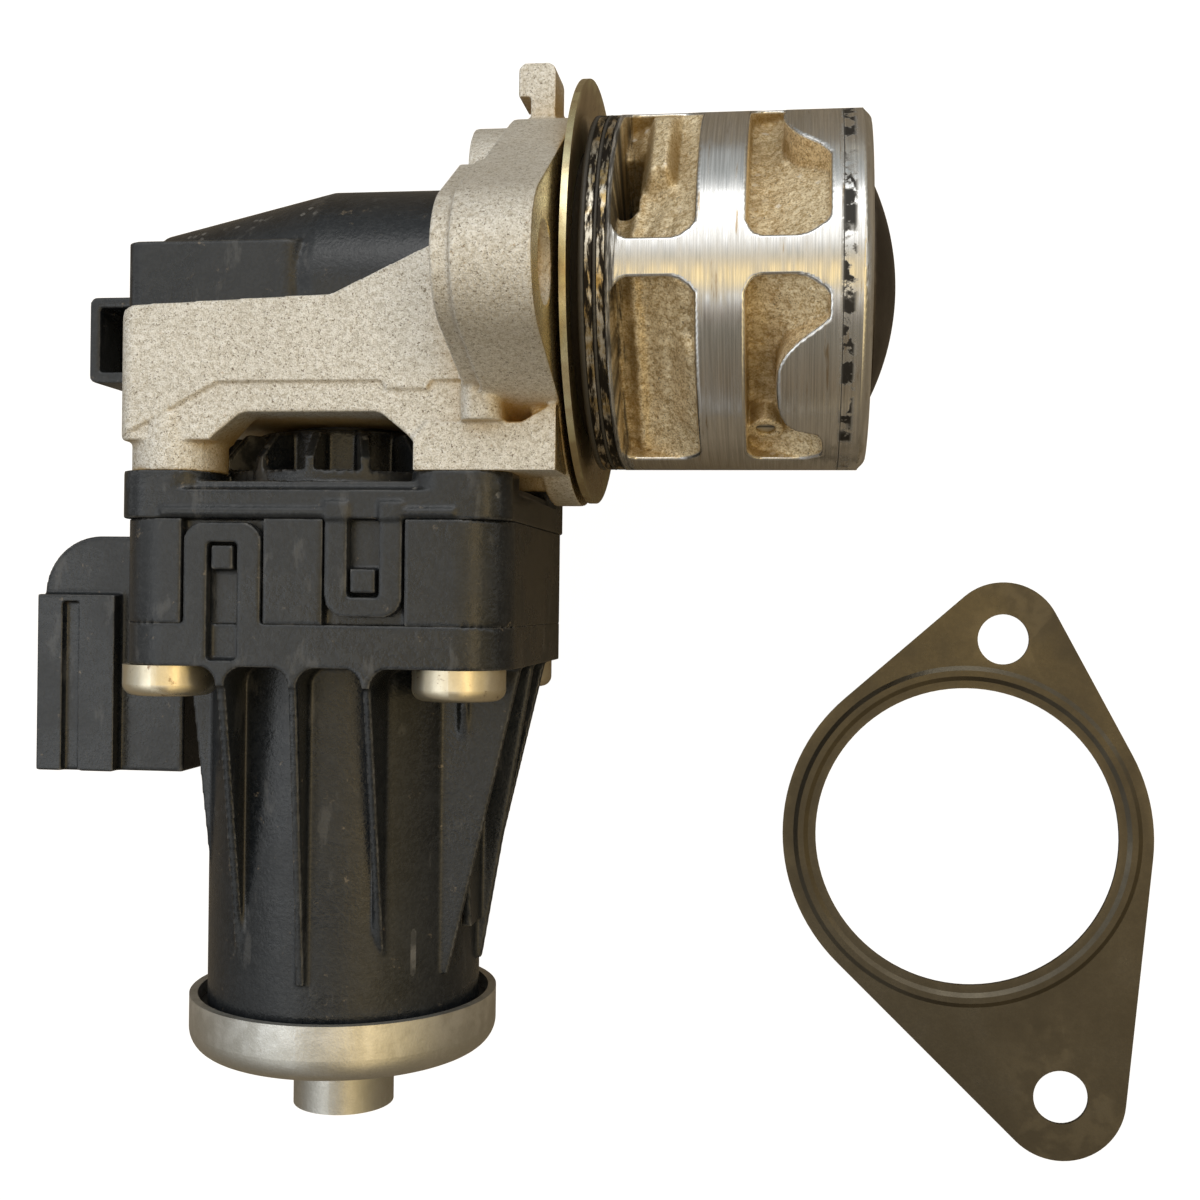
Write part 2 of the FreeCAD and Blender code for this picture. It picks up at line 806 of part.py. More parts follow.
def cage_set_screw():
    top = set_screw_boss_top - set_screw_sink
    screw = rod_z(set_screw_radius, mid_seat_radius + 2, top, set_screw_x, 0)
    half = set_screw_slot_width / 2
    slot = box(set_screw_x - set_screw_radius, set_screw_x + set_screw_radius, -half, half,
               top - set_screw_slot_depth, cage_radius)
    return turned_round_x(cut(screw, slot), set_screw_angle)


def cage_seal_rings():
    rings = []
    for start in root_ring_starts():
        rings.append(ring_x(cage_radius - 0.05, cage_radius - root_ring_depth + slip,
                            start + slip, start + root_ring_width - slip))
    return Part.makeCompound(rings)


def heat_shield_disc():
    inner = cage_tail_radius + free_gap
    return turned_x([
        (slip, inner),
        (slip + disc_thickness, inner),
        (slip + disc_thickness, cage_radius),
        (disc_front, disc_radius),
        (disc_front - disc_thickness, disc_radius),
        (slip, cage_radius),
    ])


def seat_ring(start, outer, bore):
    return turned_x([
        (start + slip, bore),
        (start + slip, outer),
        (start + seat_length, outer),
        (start + seat_length, bore + seat_chamfer),
        (start + seat_length - seat_chamfer, bore),
    ])


def mid_seat_ring():
    return seat_ring(mid_seat_start, mid_seat_radius, mid_seat_bore)


def end_seat_ring():
    return seat_ring(end_seat_start, end_seat_radius, end_seat_bore)


def stem_guide_bush():
    start = neck_left + 1 + stem_seal_length + slip
    return ring_x(guide_bush_radius, stem_radius + running_gap, start, guide_bush_end)


def stem_seal():
    start = neck_left + 1 - slip
    return turned_x([
        (start, stem_radius + running_gap),
        (start, stem_seal_radius),
        (start + stem_seal_length, stem_seal_radius),
        (start + stem_seal_length, guide_bush_radius),
        (start + stem_seal_length - 0.8, stem_radius + 1.0),
        (start + 0.6, stem_radius + running_gap),
    ])


def seal_retainer():
    return ring_x(stem_seal_radius, stem_radius + 1.5, neck_left + 0.1, neck_left + 1 - 2 * slip)


# Moving stem

def valve_stem():
    stem = rod_x(stem_radius, stem_end_x, end_face + end_poppet_rim - slip)
    reach = stem_radius + 1
    return cut(stem, rod_z(yoke_pin_radius + slip, -reach, reach, yoke_pin_x, 0))


def stem_yoke():
    slot_half = yoke_half_width - yoke_wall
    low = crank_pin_z - slot_half - free_gap
    high = crank_pin_z + crank_pin_swing + slot_half + free_gap
    block = rounded_box(crank_pin_x - yoke_half_width, crank_pin_x + yoke_half_width,
                        -yoke_thickness / 2, yoke_thickness / 2,
                        low - yoke_wall, high + yoke_wall, 1.5, axis_y)
    slot = rounded_box(crank_pin_x - slot_half, crank_pin_x + slot_half, -yoke_thickness, yoke_thickness,
                       low, high, roller_radius * 0.6, axis_y)
    socket_start = crank_pin_x + yoke_half_width
    socket_end = socket_start + yoke_socket_length
    socket = rod_x(yoke_socket_radius, socket_start - 1, socket_end)
    bore = rod_x(stem_radius + slip, stem_end_x - slip, socket_end + 1)
    pin_hole = rod_z(yoke_pin_radius + slip, -10, 10, yoke_pin_x, 0)
    return cut(join(block, socket), slot, bore, pin_hole)


def yoke_pin():
    return rod_z(yoke_pin_radius, -yoke_socket_radius, yoke_socket_radius, yoke_pin_x, 0)


def mid_poppet():
    start = seat_face + slip
    return turned_x([
        (start, stem_radius + slip),
        (start, mid_poppet_radius),
        (start + 0.9, mid_poppet_radius),
        (start + mid_poppet_thickness, stem_radius + 3),
        (start + mid_poppet_thickness + 1.5, stem_radius + 1.4),
        (start + mid_poppet_thickness + 1.5, stem_radius + slip),
    ])


def end_poppet():
    start = end_face + slip
    rim = start + end_poppet_rim
    dome_radius = (end_poppet_radius ** 2 + dome_height ** 2) / (2 * dome_height)
    head = rod_x(end_poppet_radius, start, rim)
    ball = Part.makeSphere(dome_radius, vec(rim + dome_height - dome_radius, 0, 0))
    dome = ball.common(rod_x(end_poppet_radius, rim, rim + dome_height + 1))
    back = turned_x([
        (start - 1.2, stem_radius),
        (start - 1.2, stem_radius + 2),
        (start, stem_radius + 6),
        (start, stem_radius),
    ])
    return cut(join(head, dome, back), rod_x(stem_radius + slip, start - 2, rim))


# Crank and output shaft

def crank_arm():
    hub = rod_y(crank_hub_radius, crank_bottom_y, crank_top_y, motor_x, motor_z)
    circles = [
        (motor_x, motor_z, crank_hub_radius - 1),
        (crank_pin_x, crank_pin_z, crank_pin_radius + 2),
    ]
    arm = belt(circles, lambda x, z: vec(x, crank_bottom_y, z)).extrude(vec(0, crank_thickness, 0))
    arm = join(hub, arm)
    shaft_hole = rod_y(output_shaft_radius + slip, crank_bottom_y - 1, crank_top_y + 1, motor_x, motor_z)
    flat = box(motor_x - 9, motor_x + 9, crank_bottom_y - 1, crank_top_y + 1,
               motor_z - output_shaft_radius - 3, motor_z - output_shaft_radius + 0.8)
    keyed_hole = shaft_hole.cut(flat)
    pin_hole = rod_y(crank_pin_radius + slip, crank_bottom_y - 1, crank_top_y + 1, crank_pin_x, crank_pin_z)
    return cut(arm, keyed_hole, pin_hole)


def crank_pin():
    top = roller_top_y + free_gap
    pin = rod_y(crank_pin_radius, crank_bottom_y, top, crank_pin_x, crank_pin_z)
    head = rod_y(crank_pin_radius + 0.7, top, top + 0.9, crank_pin_x, crank_pin_z)
    return join(pin, head)


def crank_roller():
    return ring_y(roller_radius, crank_pin_radius + running_gap, roller_bottom_y, roller_top_y,
                  crank_pin_x, crank_pin_z)


def output_shaft():
    shaft = rod_y(output_shaft_radius, output_gear_bottom_y, crank_top_y, motor_x, motor_z)
    flat = box(motor_x - 9, motor_x + 9, crank_bottom_y, crank_top_y + 1,
               motor_z - output_shaft_radius - 3, motor_z - output_shaft_radius + 0.8 + slip)
    return cut(shaft, flat)


def output_bush(bottom):
    return ring_y(output_shaft_radius + bush_wall, output_shaft_radius + running_gap,
                  bottom, bottom + bush_length, motor_x, motor_z)


def arm_bush():
    return output_bush(arm_deck_bottom + 1.0)


def tower_bush():
    return output_bush(tower_top - bush_length)


def shaft_seal():
    return ring_y(output_shaft_radius + shaft_seal_wall, output_shaft_radius + running_gap,
                  tower_top + slip, arm_deck_bottom - slip, motor_x, motor_z)


def output_gear():
    toothed = gear_shape(wheel_teeth, motor_x, motor_z, output_gear_bottom_y, output_gear_top_y,
                         mid_gear_direction + 180.0 / wheel_teeth)
    top = output_gear_top_y + gear_hub_height
    hub = rod_y(output_shaft_radius + gear_hub_wall, output_gear_bottom_y, top, motor_x, motor_z)
    hole = rod_y(output_shaft_radius + slip, output_gear_bottom_y - 1, top + 1, motor_x, motor_z)
    return cut(join(toothed, hub), hole)


def sensor_magnet():
    inner = output_shaft_radius + gear_hub_wall + slip
    return ring_y(inner + magnet_ring_wall, inner, output_gear_top_y + slip,
                  output_gear_top_y + gear_hub_height, motor_x, motor_z)


def return_spring():
    # Torsion spring round the output shaft, lying on the gear's hub.
    coil_radius = tower_hub_radius - tower_wall - spring_clearance
    start_y = output_gear_top_y + gear_hub_height + spring_wire_radius + free_gap
    helix = Part.makeHelix(spring_pitch, spring_turns * spring_pitch, coil_radius)
    profile = Part.Wire(Part.makeCircle(spring_wire_radius, vec(coil_radius, 0, 0), axis_y))
    coil = Part.Wire(helix.Edges).makePipeShell([profile], True, True)
    coil.rotate(vec(0, 0, 0), axis_x, -90)
    coil.translate(vec(motor_x, start_y, motor_z))
    return coil


# Gear train between motor and output

def intermediate_gear():
    direction = mid_gear_direction
    big = gear_shape(wheel_teeth, mid_gear_x, mid_gear_z, big_wheel_bottom_y, big_wheel_top_y,
                     direction + 180 + 180.0 / wheel_teeth)
    small = gear_shape(pinion_teeth, mid_gear_x, mid_gear_z, big_wheel_top_y, small_wheel_top_y,
                       direction + 180)
    hole = rod_y(intermediate_pin_radius + running_gap, big_wheel_bottom_y - 1, small_wheel_top_y + 1,
                 mid_gear_x, mid_gear_z)
    return cut(join(big, small), hole)


def intermediate_pin():
    return rod_y(intermediate_pin_radius, case_housing_y + 0.4, cover_case_y + 1.6, mid_gear_x, mid_gear_z)


def motor_pinion():
    toothed = gear_shape(pinion_teeth, motor_x, motor_z, pinion_bottom_y, pinion_top_y, mid_gear_direction)
    hole = rod_y(rotor_shaft_radius + slip, pinion_bottom_y - 1, pinion_top_y + 1, motor_x, motor_z)
    return cut(toothed, hole)


# Plastic casings

def stack_plate(y0, y1):
    return rounded_box(case_left, case_right, y0, y1, case_back, case_front, case_corner_radius, axis_y)


def screw_holes(y0, y1):
    return [rod_y(screw_radius + free_gap, y0 - 1, y1 + 1, x, z) for x, z in screw_places]


def tower():
    hub_bottom = arm_foot_y - 3
    hub = rod_y(tower_hub_radius, hub_bottom, tower_top, motor_x, motor_z)
    skirt = rod_y(tower_radius, hub_bottom, arm_foot_y + 0.6, motor_x, motor_z)
    ribs = []
    for i in range(tower_rib_count):
        rib = face_of([
            vec(tower_hub_radius - 2, hub_bottom, -tower_rib_thickness / 2),
            vec(tower_hub_radius - 2, tower_top - 0.6, -tower_rib_thickness / 2),
            vec(tower_radius - 3.2, tower_top - 0.6, -tower_rib_thickness / 2),
            vec(tower_radius, tower_top - 4.4, -tower_rib_thickness / 2),
            vec(tower_radius, hub_bottom, -tower_rib_thickness / 2),
        ]).extrude(vec(0, 0, tower_rib_thickness))
        rib.rotate(vec(0, 0, 0), axis_y, 90 + i * 360.0 / tower_rib_count)
        rib.translate(vec(motor_x, 0, motor_z))
        ribs.append(rib)
    return join(hub, skirt, *ribs)


def latch_loop(x0, x1, y0, y1, leg, free_end_low):
    # A flat loop of two legs and a bar, rounded at its free end.
    back = case_front - latch_thickness
    loop = box(x0, x1, y0, y1, back, case_front)
    free_y = y0 if free_end_low else y1
    corners = [e for e in loop.Edges if e.BoundBox.YLength < 0.01 and e.BoundBox.XLength < 0.01]
    loop = loop.makeFillet(latch_corner, [e for e in corners if abs(e.BoundBox.YMin - free_y) < 0.01])
    low = y0 + latch_bar if free_end_low else y0 - 1
    high = y1 + 1 if free_end_low else y1 - latch_bar
    return loop.cut(box(x0 + leg, x1 - leg, low, high, back - 1, case_front + 1))


def gear_cover():
    deck_y = arm_foot_y - cover_deck_drop
    base = stack_plate(cover_case_y, deck_y)
    inset = cover_ledge_inset
    ledge = box(case_left + inset, case_right - inset, deck_y - 0.1, arm_foot_y - cover_ledge_drop,
                case_back + inset, case_front - inset)
    pads = []
    for x, z in screw_places:
        left = x < motor_x
        front = z > motor_z
        x0 = case_left if left else right_foot_left - cover_pad_reach
        x1 = case_left + arm_foot_width if left else case_right
        z0 = case_front - arm_foot_width if front else case_back
        z1 = case_front if front else case_back + arm_foot_width
        pads.append(rounded_box(x0, x1, cover_case_y, arm_foot_y, z0, z1, cover_pad_radius, axis_y))
    latch = latch_loop(cover_latch_left, cover_latch_right, cover_latch_end_y, cover_case_y + 1,
                       cover_latch_leg, True)
    proud = case_front + cover_lip_proud
    trims = []
    for x0 in (cover_latch_left, cover_latch_right - cover_latch_leg):
        trims.append(box(x0, x0 + cover_latch_leg, cover_case_y, cover_case_y + latch_tab_height,
                         case_front - 1, proud))
    lip_y = cover_case_y + cover_lip_height
    for x0, x1 in ((case_left + case_corner_radius, cover_latch_left),
                   (cover_latch_right, case_right - case_corner_radius)):
        trims.append(box(x0, x1, lip_y, lip_y + cover_lip_height, case_front - 1, proud))
    cover = join(base, ledge, tower(), *pads, latch, *trims)
    inner = tower_hub_radius - tower_wall
    cavity = rod_y(inner, cover_case_y - 1, tower_top - bush_length - 1, motor_x, motor_z)
    mid_recess = rod_y(pinion_pitch_radius + wheel_room, cover_case_y - 1, cover_case_y + 1,
                       mid_gear_x, mid_gear_z)
    pin_hole = rod_y(intermediate_pin_radius + slip, cover_case_y - 1, cover_case_y + 2,
                     mid_gear_x, mid_gear_z)
    bush_hole = rod_y(output_shaft_radius + bush_wall + slip, tower_top - bush_length, tower_top + 1,
                      motor_x, motor_z)
    shaft_hole = rod_y(output_shaft_radius + free_gap, tower_top - bush_length - 2, tower_top + 1,
                       motor_x, motor_z)
    cuts = [cavity, mid_recess, pin_hole, bush_hole, shaft_hole]
    return cut(cover, *cuts, *screw_holes(cover_case_y, arm_foot_y))


def plug_outline():
    arch_x = plug_left + plug_arch_radius
    arch_y = plug_top - plug_arch_radius
    slant = plug_arch_radius * math.sqrt(0.5)
    middle = vec(arch_x - slant, arch_y + slant, plug_back)
    joint_y = case_housing_y + free_gap
    points = [
        vec(arch_x, plug_top, plug_back),
        vec(case_left + 1, plug_top, plug_back),
        vec(case_left + 1, joint_y, plug_back),
        vec(plug_right, joint_y, plug_back),
        vec(plug_right, plug_bottom, plug_back),
        vec(plug_left, plug_bottom, plug_back),
        vec(plug_left, arch_y, plug_back),
    ]
    edges = [Part.LineSegment(points[i], points[i + 1]).toShape() for i in range(len(points) - 1)]
    edges.append(Part.Arc(points[-1], middle, points[0]).toShape())
    return Part.Face(Part.Wire(edges))


def plug_socket():
    body = plug_outline().extrude(vec(0, 0, plug_front - plug_step - plug_back))
    face = box(plug_left, plug_step_x, plug_bottom, plug_top - plug_arch_radius,
               plug_front - plug_step - 1, plug_front)
    groove_left = plug_left + plug_groove_start
    groove = box(groove_left, groove_left + plug_groove_width, plug_bottom - 1,
                 plug_top - plug_arch_radius - plug_groove_depth,
                 plug_front - plug_groove_depth, plug_front + 1)
    cavity = rounded_box(plug_left + plug_wall, plug_right - plug_wall, plug_bottom - 1,
                         plug_bottom + plug_socket_depth, plug_back + plug_wall,
                         plug_front - plug_step - plug_wall, plug_cavity_corner, axis_y)
    return cut(join(body, face), groove, cavity)


def terminal_z(i):
    return plug_middle_z + (i - (terminal_count - 1) / 2) * terminal_pitch


def terminal_x():
    return (plug_left + plug_right) / 2


def terminal(i, grow):
    z = terminal_z(i)
    half_w = terminal_width / 2 + grow
    half_t = terminal_thickness / 2 + grow
    x = terminal_x()
    inside_x = case_left + case_wall + terminal_inset
    top = board_bottom_y - slip
    blade = box(x - half_w, x + half_w, plug_bottom + terminal_tip_depth, terminal_bend_y + half_t,
                z - half_t, z + half_t)
    run = box(x - half_w, inside_x + half_w, terminal_bend_y - half_t, terminal_bend_y + half_t,
              z - half_t, z + half_t)
    rise = box(inside_x - half_w, inside_x + half_w, terminal_bend_y - half_t, top, z - half_t, z + half_t)
    return join(blade, run, rise)


def connector_terminals():
    return Part.makeCompound([terminal(i, 0) for i in range(terminal_count)])


def case_nub(x0, x1, y0, y1):
    # The catch a latch loop snaps over.
    root = case_front - latch_recess - 0.5
    return box(x0 + latch_nub_gap, x1 - latch_nub_gap, y0, y1, root, case_front - slip)


def gear_case():
    outer = stack_plate(case_housing_y, cover_case_y)
    cover_recess = box(cover_latch_left - free_gap, cover_latch_right + free_gap,
                       case_housing_y - 1, cover_case_y + 1, case_front - latch_recess, case_front + 1)
    housing_recess = box(housing_latch_left - free_gap, housing_latch_right + free_gap,
                         case_housing_y - 1, cover_case_y + 1, case_front - latch_recess, case_front + 1)
    inner_radius = case_corner_radius - case_wall
    cavity = rounded_box(case_left + case_wall, case_right - case_wall, floor_top_y, cover_case_y + 1,
                         case_back + case_wall, case_front - latch_recess - case_wall, inner_radius, axis_y)
    pillars = [rod_y(screw_pillar_radius, case_housing_y, cover_case_y, x, z) for x, z in screw_places]
    boss = rod_y(intermediate_pin_radius + pin_boss_wall, case_housing_y,
                 big_wheel_bottom_y - free_gap, mid_gear_x, mid_gear_z)
    shelf_x = case_left + case_wall
    shelf = box(shelf_x - 0.5, shelf_x + plug_shelf_width, terminal_bend_y + plug_shelf_gap,
                board_bottom_y - slip, plug_back, plug_front)
    case = cut(outer, cavity, cover_recess, housing_recess)
    cover_nub_y = cover_latch_end_y + latch_bar + latch_nub_gap
    cover_nub = case_nub(cover_latch_left + cover_latch_leg, cover_latch_right - cover_latch_leg,
                         cover_nub_y, cover_nub_y + latch_nub_height)
    housing_nub_y = housing_latch_end_y - latch_bar - latch_nub_gap
    housing_nub = case_nub(housing_latch_left + housing_latch_leg, housing_latch_right - housing_latch_leg,
                           housing_nub_y - latch_nub_height, housing_nub_y)
    case = join(case, plug_socket(), boss, shelf, cover_nub, housing_nub, *pillars)
    pinion_hole = rod_y(pinion_pitch_radius + pinion_room, case_housing_y - 1, floor_top_y + 1,
                        motor_x, motor_z)
    pin_hole = rod_y(intermediate_pin_radius + slip, case_housing_y + pin_hole_floor, floor_top_y + 2,
                     mid_gear_x, mid_gear_z)
    terminal_ways = [terminal(i, slip) for i in range(terminal_count)]
    return cut(case, pinion_hole, pin_hole, *terminal_ways, *screw_holes(case_housing_y, cover_case_y))


def front_fin(x, height_top, height_end, end_y, side):
    # A tapering fin in a plane of constant x. Side is 1 for the front and -1 for the back.
    offset = abs(x - motor_x)
    surface = math.sqrt(max(core_radius ** 2 - offset ** 2, 1.0)) - 1.0
    half = fin_thickness / 2
    points = [
        vec(x - half, housing_flange_y, motor_z),
        vec(x - half, housing_flange_y, motor_z + side * height_top),
        vec(x - half, end_y, motor_z + side * (surface + height_end)),
        vec(x - half, end_y, motor_z),
    ]
    return face_of(points).extrude(vec(fin_thickness, 0, 0))


def fin_root(x, z0, z1):
    # The rounded corners between a fin and the flange above it.
    reach = fin_thickness / 2 + fin_root_radius
    low = housing_flange_y - fin_root_radius
    block = box(x - reach, x + reach, low, housing_flange_y, z0, z1)
    sides = [rod_z(fin_root_radius, z0 - 1, z1 + 1, x + side * reach, low) for side in (-1, 1)]
    return cut(block, *sides)


def side_fin(z, reach_top, reach_end, end_y, side):
    # The same in a plane of constant z. Side is 1 for the right and -1 for the left.
    half = fin_thickness / 2
    points = [
        vec(motor_x, housing_flange_y, z - half),
        vec(motor_x + side * reach_top, housing_flange_y, z - half),
        vec(motor_x + side * reach_end, end_y, z - half),
        vec(motor_x, end_y, z - half),
    ]
    return face_of(points).extrude(vec(0, 0, fin_thickness))


def fins():
    end_y = end_cap_rim_y + fin_end_gap
    front = case_front - motor_z
    back = motor_z - case_back
    made = []
    for k in (-1, 0, 1):
        blunt = middle_fin_end if k == 0 else outer_fin_end
        last = end_y if k == 0 else end_y + outer_fin_gap
        made.append(front_fin(motor_x + k * fin_pitch, front, blunt, last, 1))
        made.append(front_fin(motor_x + k * fin_pitch, back, blunt, last, -1))
        made.append(fin_root(motor_x + k * fin_pitch, case_back, case_front))
    for k in (-1, 0, 1):
        surface = math.sqrt(core_radius ** 2 - (k * fin_pitch) ** 2)
        right = case_right - motor_x - side_fin_inset
        left = motor_x - case_left - side_fin_inset - abs(k) * left_outer_fin_inset
        left_end = housing_flange_y - left_fin_length
        made.append(side_fin(motor_z + k * fin_pitch, right, surface + side_fin_end, end_y, 1))
        made.append(side_fin(motor_z + k * fin_pitch, left, surface - left_fin_sink, left_end, -1))
    corner_x = motor_x + 2 * fin_pitch
    corner_end = end_y + corner_fin_gap
    corner = face_of([
        vec(corner_x - fin_thickness / 2, housing_flange_y, motor_z - fin_pitch),
        vec(corner_x - fin_thickness / 2, housing_flange_y, screw_front_z - screw_head_radius - 1),
        vec(corner_x - fin_thickness / 2, corner_end, motor_z + fin_pitch * corner_fin_share),
        vec(corner_x - fin_thickness / 2, corner_end, motor_z - fin_pitch * corner_fin_share),
    ]).extrude(vec(fin_thickness, 0, 0))
    made.append(corner)
    return made


def motor_housing():
    flange = stack_plate(housing_flange_y, case_housing_y)
    core = rod_y(core_radius, housing_end_y, housing_flange_y + 1, motor_x, motor_z)
    latch = latch_loop(housing_latch_left, housing_latch_right, case_housing_y - 1, housing_latch_end_y,
                       housing_latch_leg, False)
    slot = box(housing_latch_left + housing_latch_leg, housing_latch_right - housing_latch_leg,
               housing_flange_y + latch_slot_floor, case_housing_y + 1, case_front - latch_thickness,
               case_front + 1)
    bore = rod_y(can_radius + slip, housing_end_y - 1, brush_plate_top_y + slip, motor_x, motor_z)
    seat_top = brush_plate_top_y + slip + bearing_land
    well = rod_y(can_radius - housing_well_wall, seat_top, case_housing_y + 1, motor_x, motor_z)
    boss_radius = rotor_shaft_radius + bearing_wall + bearing_boss_wall
    bearing_boss = rod_y(boss_radius, seat_top - 1, case_housing_y - bearing_boss_drop, motor_x, motor_z)
    bearing_hole = rod_y(rotor_shaft_radius + bearing_wall + slip, brush_plate_top_y - 1, case_housing_y,
                         motor_x, motor_z)
    trim = box(case_left - 2, case_right + 2, housing_end_y - 2, case_housing_y + 1, case_back, case_front)
    around = [f.common(trim) for f in fins()]
    housing = join(flange, core, latch, *around)
    housing = cut(housing, slot, bore, well)
    housing = join(housing, bearing_boss)
    heads = [rod_y(screw_head_radius + free_gap, housing_flange_y - 30, housing_flange_y, x, z)
             for x, z in screw_places]
    return cut(housing, bearing_hole, *heads, *screw_holes(housing_flange_y, case_housing_y))


def linkage_cover():
    seat = arm_top + cover_seal_thickness
    wall = cover_wall

    def hood(shrink):
        return turned_x([
            (hood_left + shrink, 0),
            (hood_left + shrink, hood_small_radius - shrink),
            (hood_taper_end, hood_radius - shrink),
            (hood_right + (1 if shrink else 0), hood_radius - shrink),
            (hood_right + (1 if shrink else 0), 0),
        ])

    def lid_box(shrink):
        return rounded_box(cover_box_left + shrink, cover_box_right - shrink, seat - (1 if shrink else 0),
                           cover_box_top - shrink, chamber_back - 3 + shrink, cover_box_front - shrink,
                           2.4 - shrink, axis_y)

    reach = hood_radius + 1
    above = box(cover_box_left - 1, hood_right + 1, seat, reach, -reach, reach)
    frame_outer = rounded_box(side_frame_left, cover_box_left + 1, side_frame_bottom, side_frame_top,
                              side_frame_front - side_frame_depth, side_frame_front, 1.0, axis_z)
    frame_room = box(side_frame_left + wall, cover_box_left + 2,
                     side_frame_bottom + wall, side_frame_top - wall,
                     side_frame_front - side_frame_depth + wall, side_frame_front + 1)
    arm_room = box(arm_left - loose_gap, hood_right + 1, side_frame_bottom - 1, seat, -30, 30)
    frame = cut(frame_outer, frame_room, arm_room)
    rim = box(arm_left + 1.2, neck_left - 0.6, seat, seat + wall, chamber_back - 4, cover_box_front - 0.6)
    outside = join(hood(0).common(above), lid_box(0), frame, rim)
    chamber = box(chamber_left, neck_left, seat - 1, seat + wall + 1, chamber_back, chamber_front)
    room_radius = neck_radius + free_gap
    neck = rod_x(room_radius, neck_left - free_gap, hood_right + 2)
    saddle = box(neck_left - free_gap, hood_right + 2, seat - 1, 0, -room_radius, room_radius)
    room = above.copy()
    room.translate(vec(0, -1, 0))
    return cut(outside, hood(wall).common(room), lid_box(wall), chamber, neck, saddle)


def linkage_cover_seal():
    y0 = arm_top + slip
    y1 = arm_top + cover_seal_thickness - slip
    outer = box(chamber_left - 2.4, neck_left - 0.6, y0, y1, chamber_back - 2.4, chamber_front + 2.4)
    inner = box(chamber_left - 0.4, neck_left + 1, y0 - 1, y1 + 1, chamber_back - 0.4, chamber_front + 0.4)
    return cut(outer, inner)


def case_screw(x, z):
    head_bottom = housing_flange_y - screw_head_height
    shank = rod_y(screw_radius, housing_flange_y - 1, arm_foot_y + screw_reach, x, z)
    head = rod_y(screw_head_radius, head_bottom, housing_flange_y - slip, x, z)
    rim = [e for e in head.Edges if e.BoundBox.YMax < head_bottom + 0.01]
    head = head.makeFillet(screw_head_round, rim)
    drive = rod_y(screw_drive_radius, head_bottom - 1, head_bottom + screw_drive_depth, x, z)
    return cut(join(shank, head), drive)


def case_screws():
    return Part.makeCompound([case_screw(x, z) for x, z in screw_places])


# Motor

def motor_can():
    return ring_y(can_radius, can_inner_radius, cap_floor_y + slip, can_top_y, motor_x, motor_z)


def motor_magnets():
    made = []
    ring = ring_y(can_inner_radius - slip, magnet_inner_radius, stack_bottom_y - 1, stack_top_y + 1,
                  motor_x, motor_z)
    reach = 2 * can_radius
    low = stack_bottom_y - 2
    half = math.radians(magnet_span / 2)
    across = reach * math.cos(half)
    up = reach * math.sin(half)
    for side in (-1, 1):
        wedge = face_of([
            vec(motor_x, low, motor_z),
            vec(motor_x + side * across, low, motor_z - up),
            vec(motor_x + side * reach, low, motor_z - reach),
            vec(motor_x + side * reach, low, motor_z + reach),
            vec(motor_x + side * across, low, motor_z + up),
        ]).extrude(vec(0, stack_length + 4, 0))
        made.append(ring.common(wedge))
    return Part.makeCompound(made)


def slot_places():
    return [2 * math.pi * (i + 0.5) / stack_slots for i in range(stack_slots)]


def slot_radius():
    return stack_radius * 0.68


def armature_stack():
    low = stack_bottom_y - 1
    high = stack_top_y + 1
    stack = rod_y(stack_radius, stack_bottom_y, stack_top_y, motor_x, motor_z)
    cuts = [rod_y(rotor_shaft_radius + slip, low, high, motor_x, motor_z)]
    half = stack_slot_mouth / 2
    for angle in slot_places():
        x = motor_x + slot_radius() * math.cos(angle)
        z = motor_z + slot_radius() * math.sin(angle)
        cuts.append(rod_y(stack_slot_radius, low, high, x, z))
        mouth = box(motor_x + slot_radius(), motor_x + stack_radius + 1, low, high,
                    motor_z - half, motor_z + half)
        mouth.rotate(vec(motor_x, 0, motor_z), axis_y, -math.degrees(angle))
        cuts.append(mouth)
    return cut(stack, *cuts)


def armature_winding():
    inner = commutator_radius + loose_gap
    outer = slot_radius() + stack_slot_radius
    top = ring_y(outer, inner, stack_top_y + slip, commutator_bottom_y - loose_gap, motor_x, motor_z)
    bottom = ring_y(outer, inner, stack_bottom_y - winding_overhang, stack_bottom_y - slip,
                    motor_x, motor_z)
    bars = []
    for angle in slot_places():
        x = motor_x + slot_radius() * math.cos(angle)
        z = motor_z + slot_radius() * math.sin(angle)
        bars.append(rod_y(winding_bar_radius, stack_bottom_y - 1, stack_top_y + 1, x, z))
    return join(top, bottom, *bars)


def commutator():
    ring = ring_y(commutator_radius, rotor_shaft_radius + slip, commutator_bottom_y, commutator_top_y,
                  motor_x, motor_z)
    gaps = []
    half = commutator_groove_width / 2
    for i in range(stack_slots):
        gap = box(motor_x + commutator_radius - commutator_groove_depth, motor_x + commutator_radius + 1,
                  commutator_bottom_y + commutator_groove_depth, commutator_top_y + 1,
                  motor_z - half, motor_z + half)
        gap.rotate(vec(motor_x, 0, motor_z), axis_y, i * 360.0 / stack_slots)
        gaps.append(gap)
    return cut(ring, *gaps)


def rotor_shaft():
    return rod_y(rotor_shaft_radius, end_cap_bottom_y - nub_length + 1.8, pinion_top_y, motor_x, motor_z)


def brush_box(side, start, end, grow):
    # A box on one side of the commutator. Start and end are measured from its surface.
    low = commutator_bottom_y + brush_inset - grow
    high = commutator_top_y - brush_inset + grow
    x0, x1 = sorted([motor_x + side * (commutator_radius + reach) for reach in (start, end)])
    half = brush_half_width + grow
    return box(x0, x1, low, high, motor_z - half, motor_z + half)


def brushes():
    hollow = rod_y(commutator_radius + running_gap, commutator_bottom_y, commutator_top_y, motor_x, motor_z)
    made = [cut(brush_box(side, -loose_gap, brush_length, 0), hollow) for side in (-1, 1)]
    return Part.makeCompound(made)


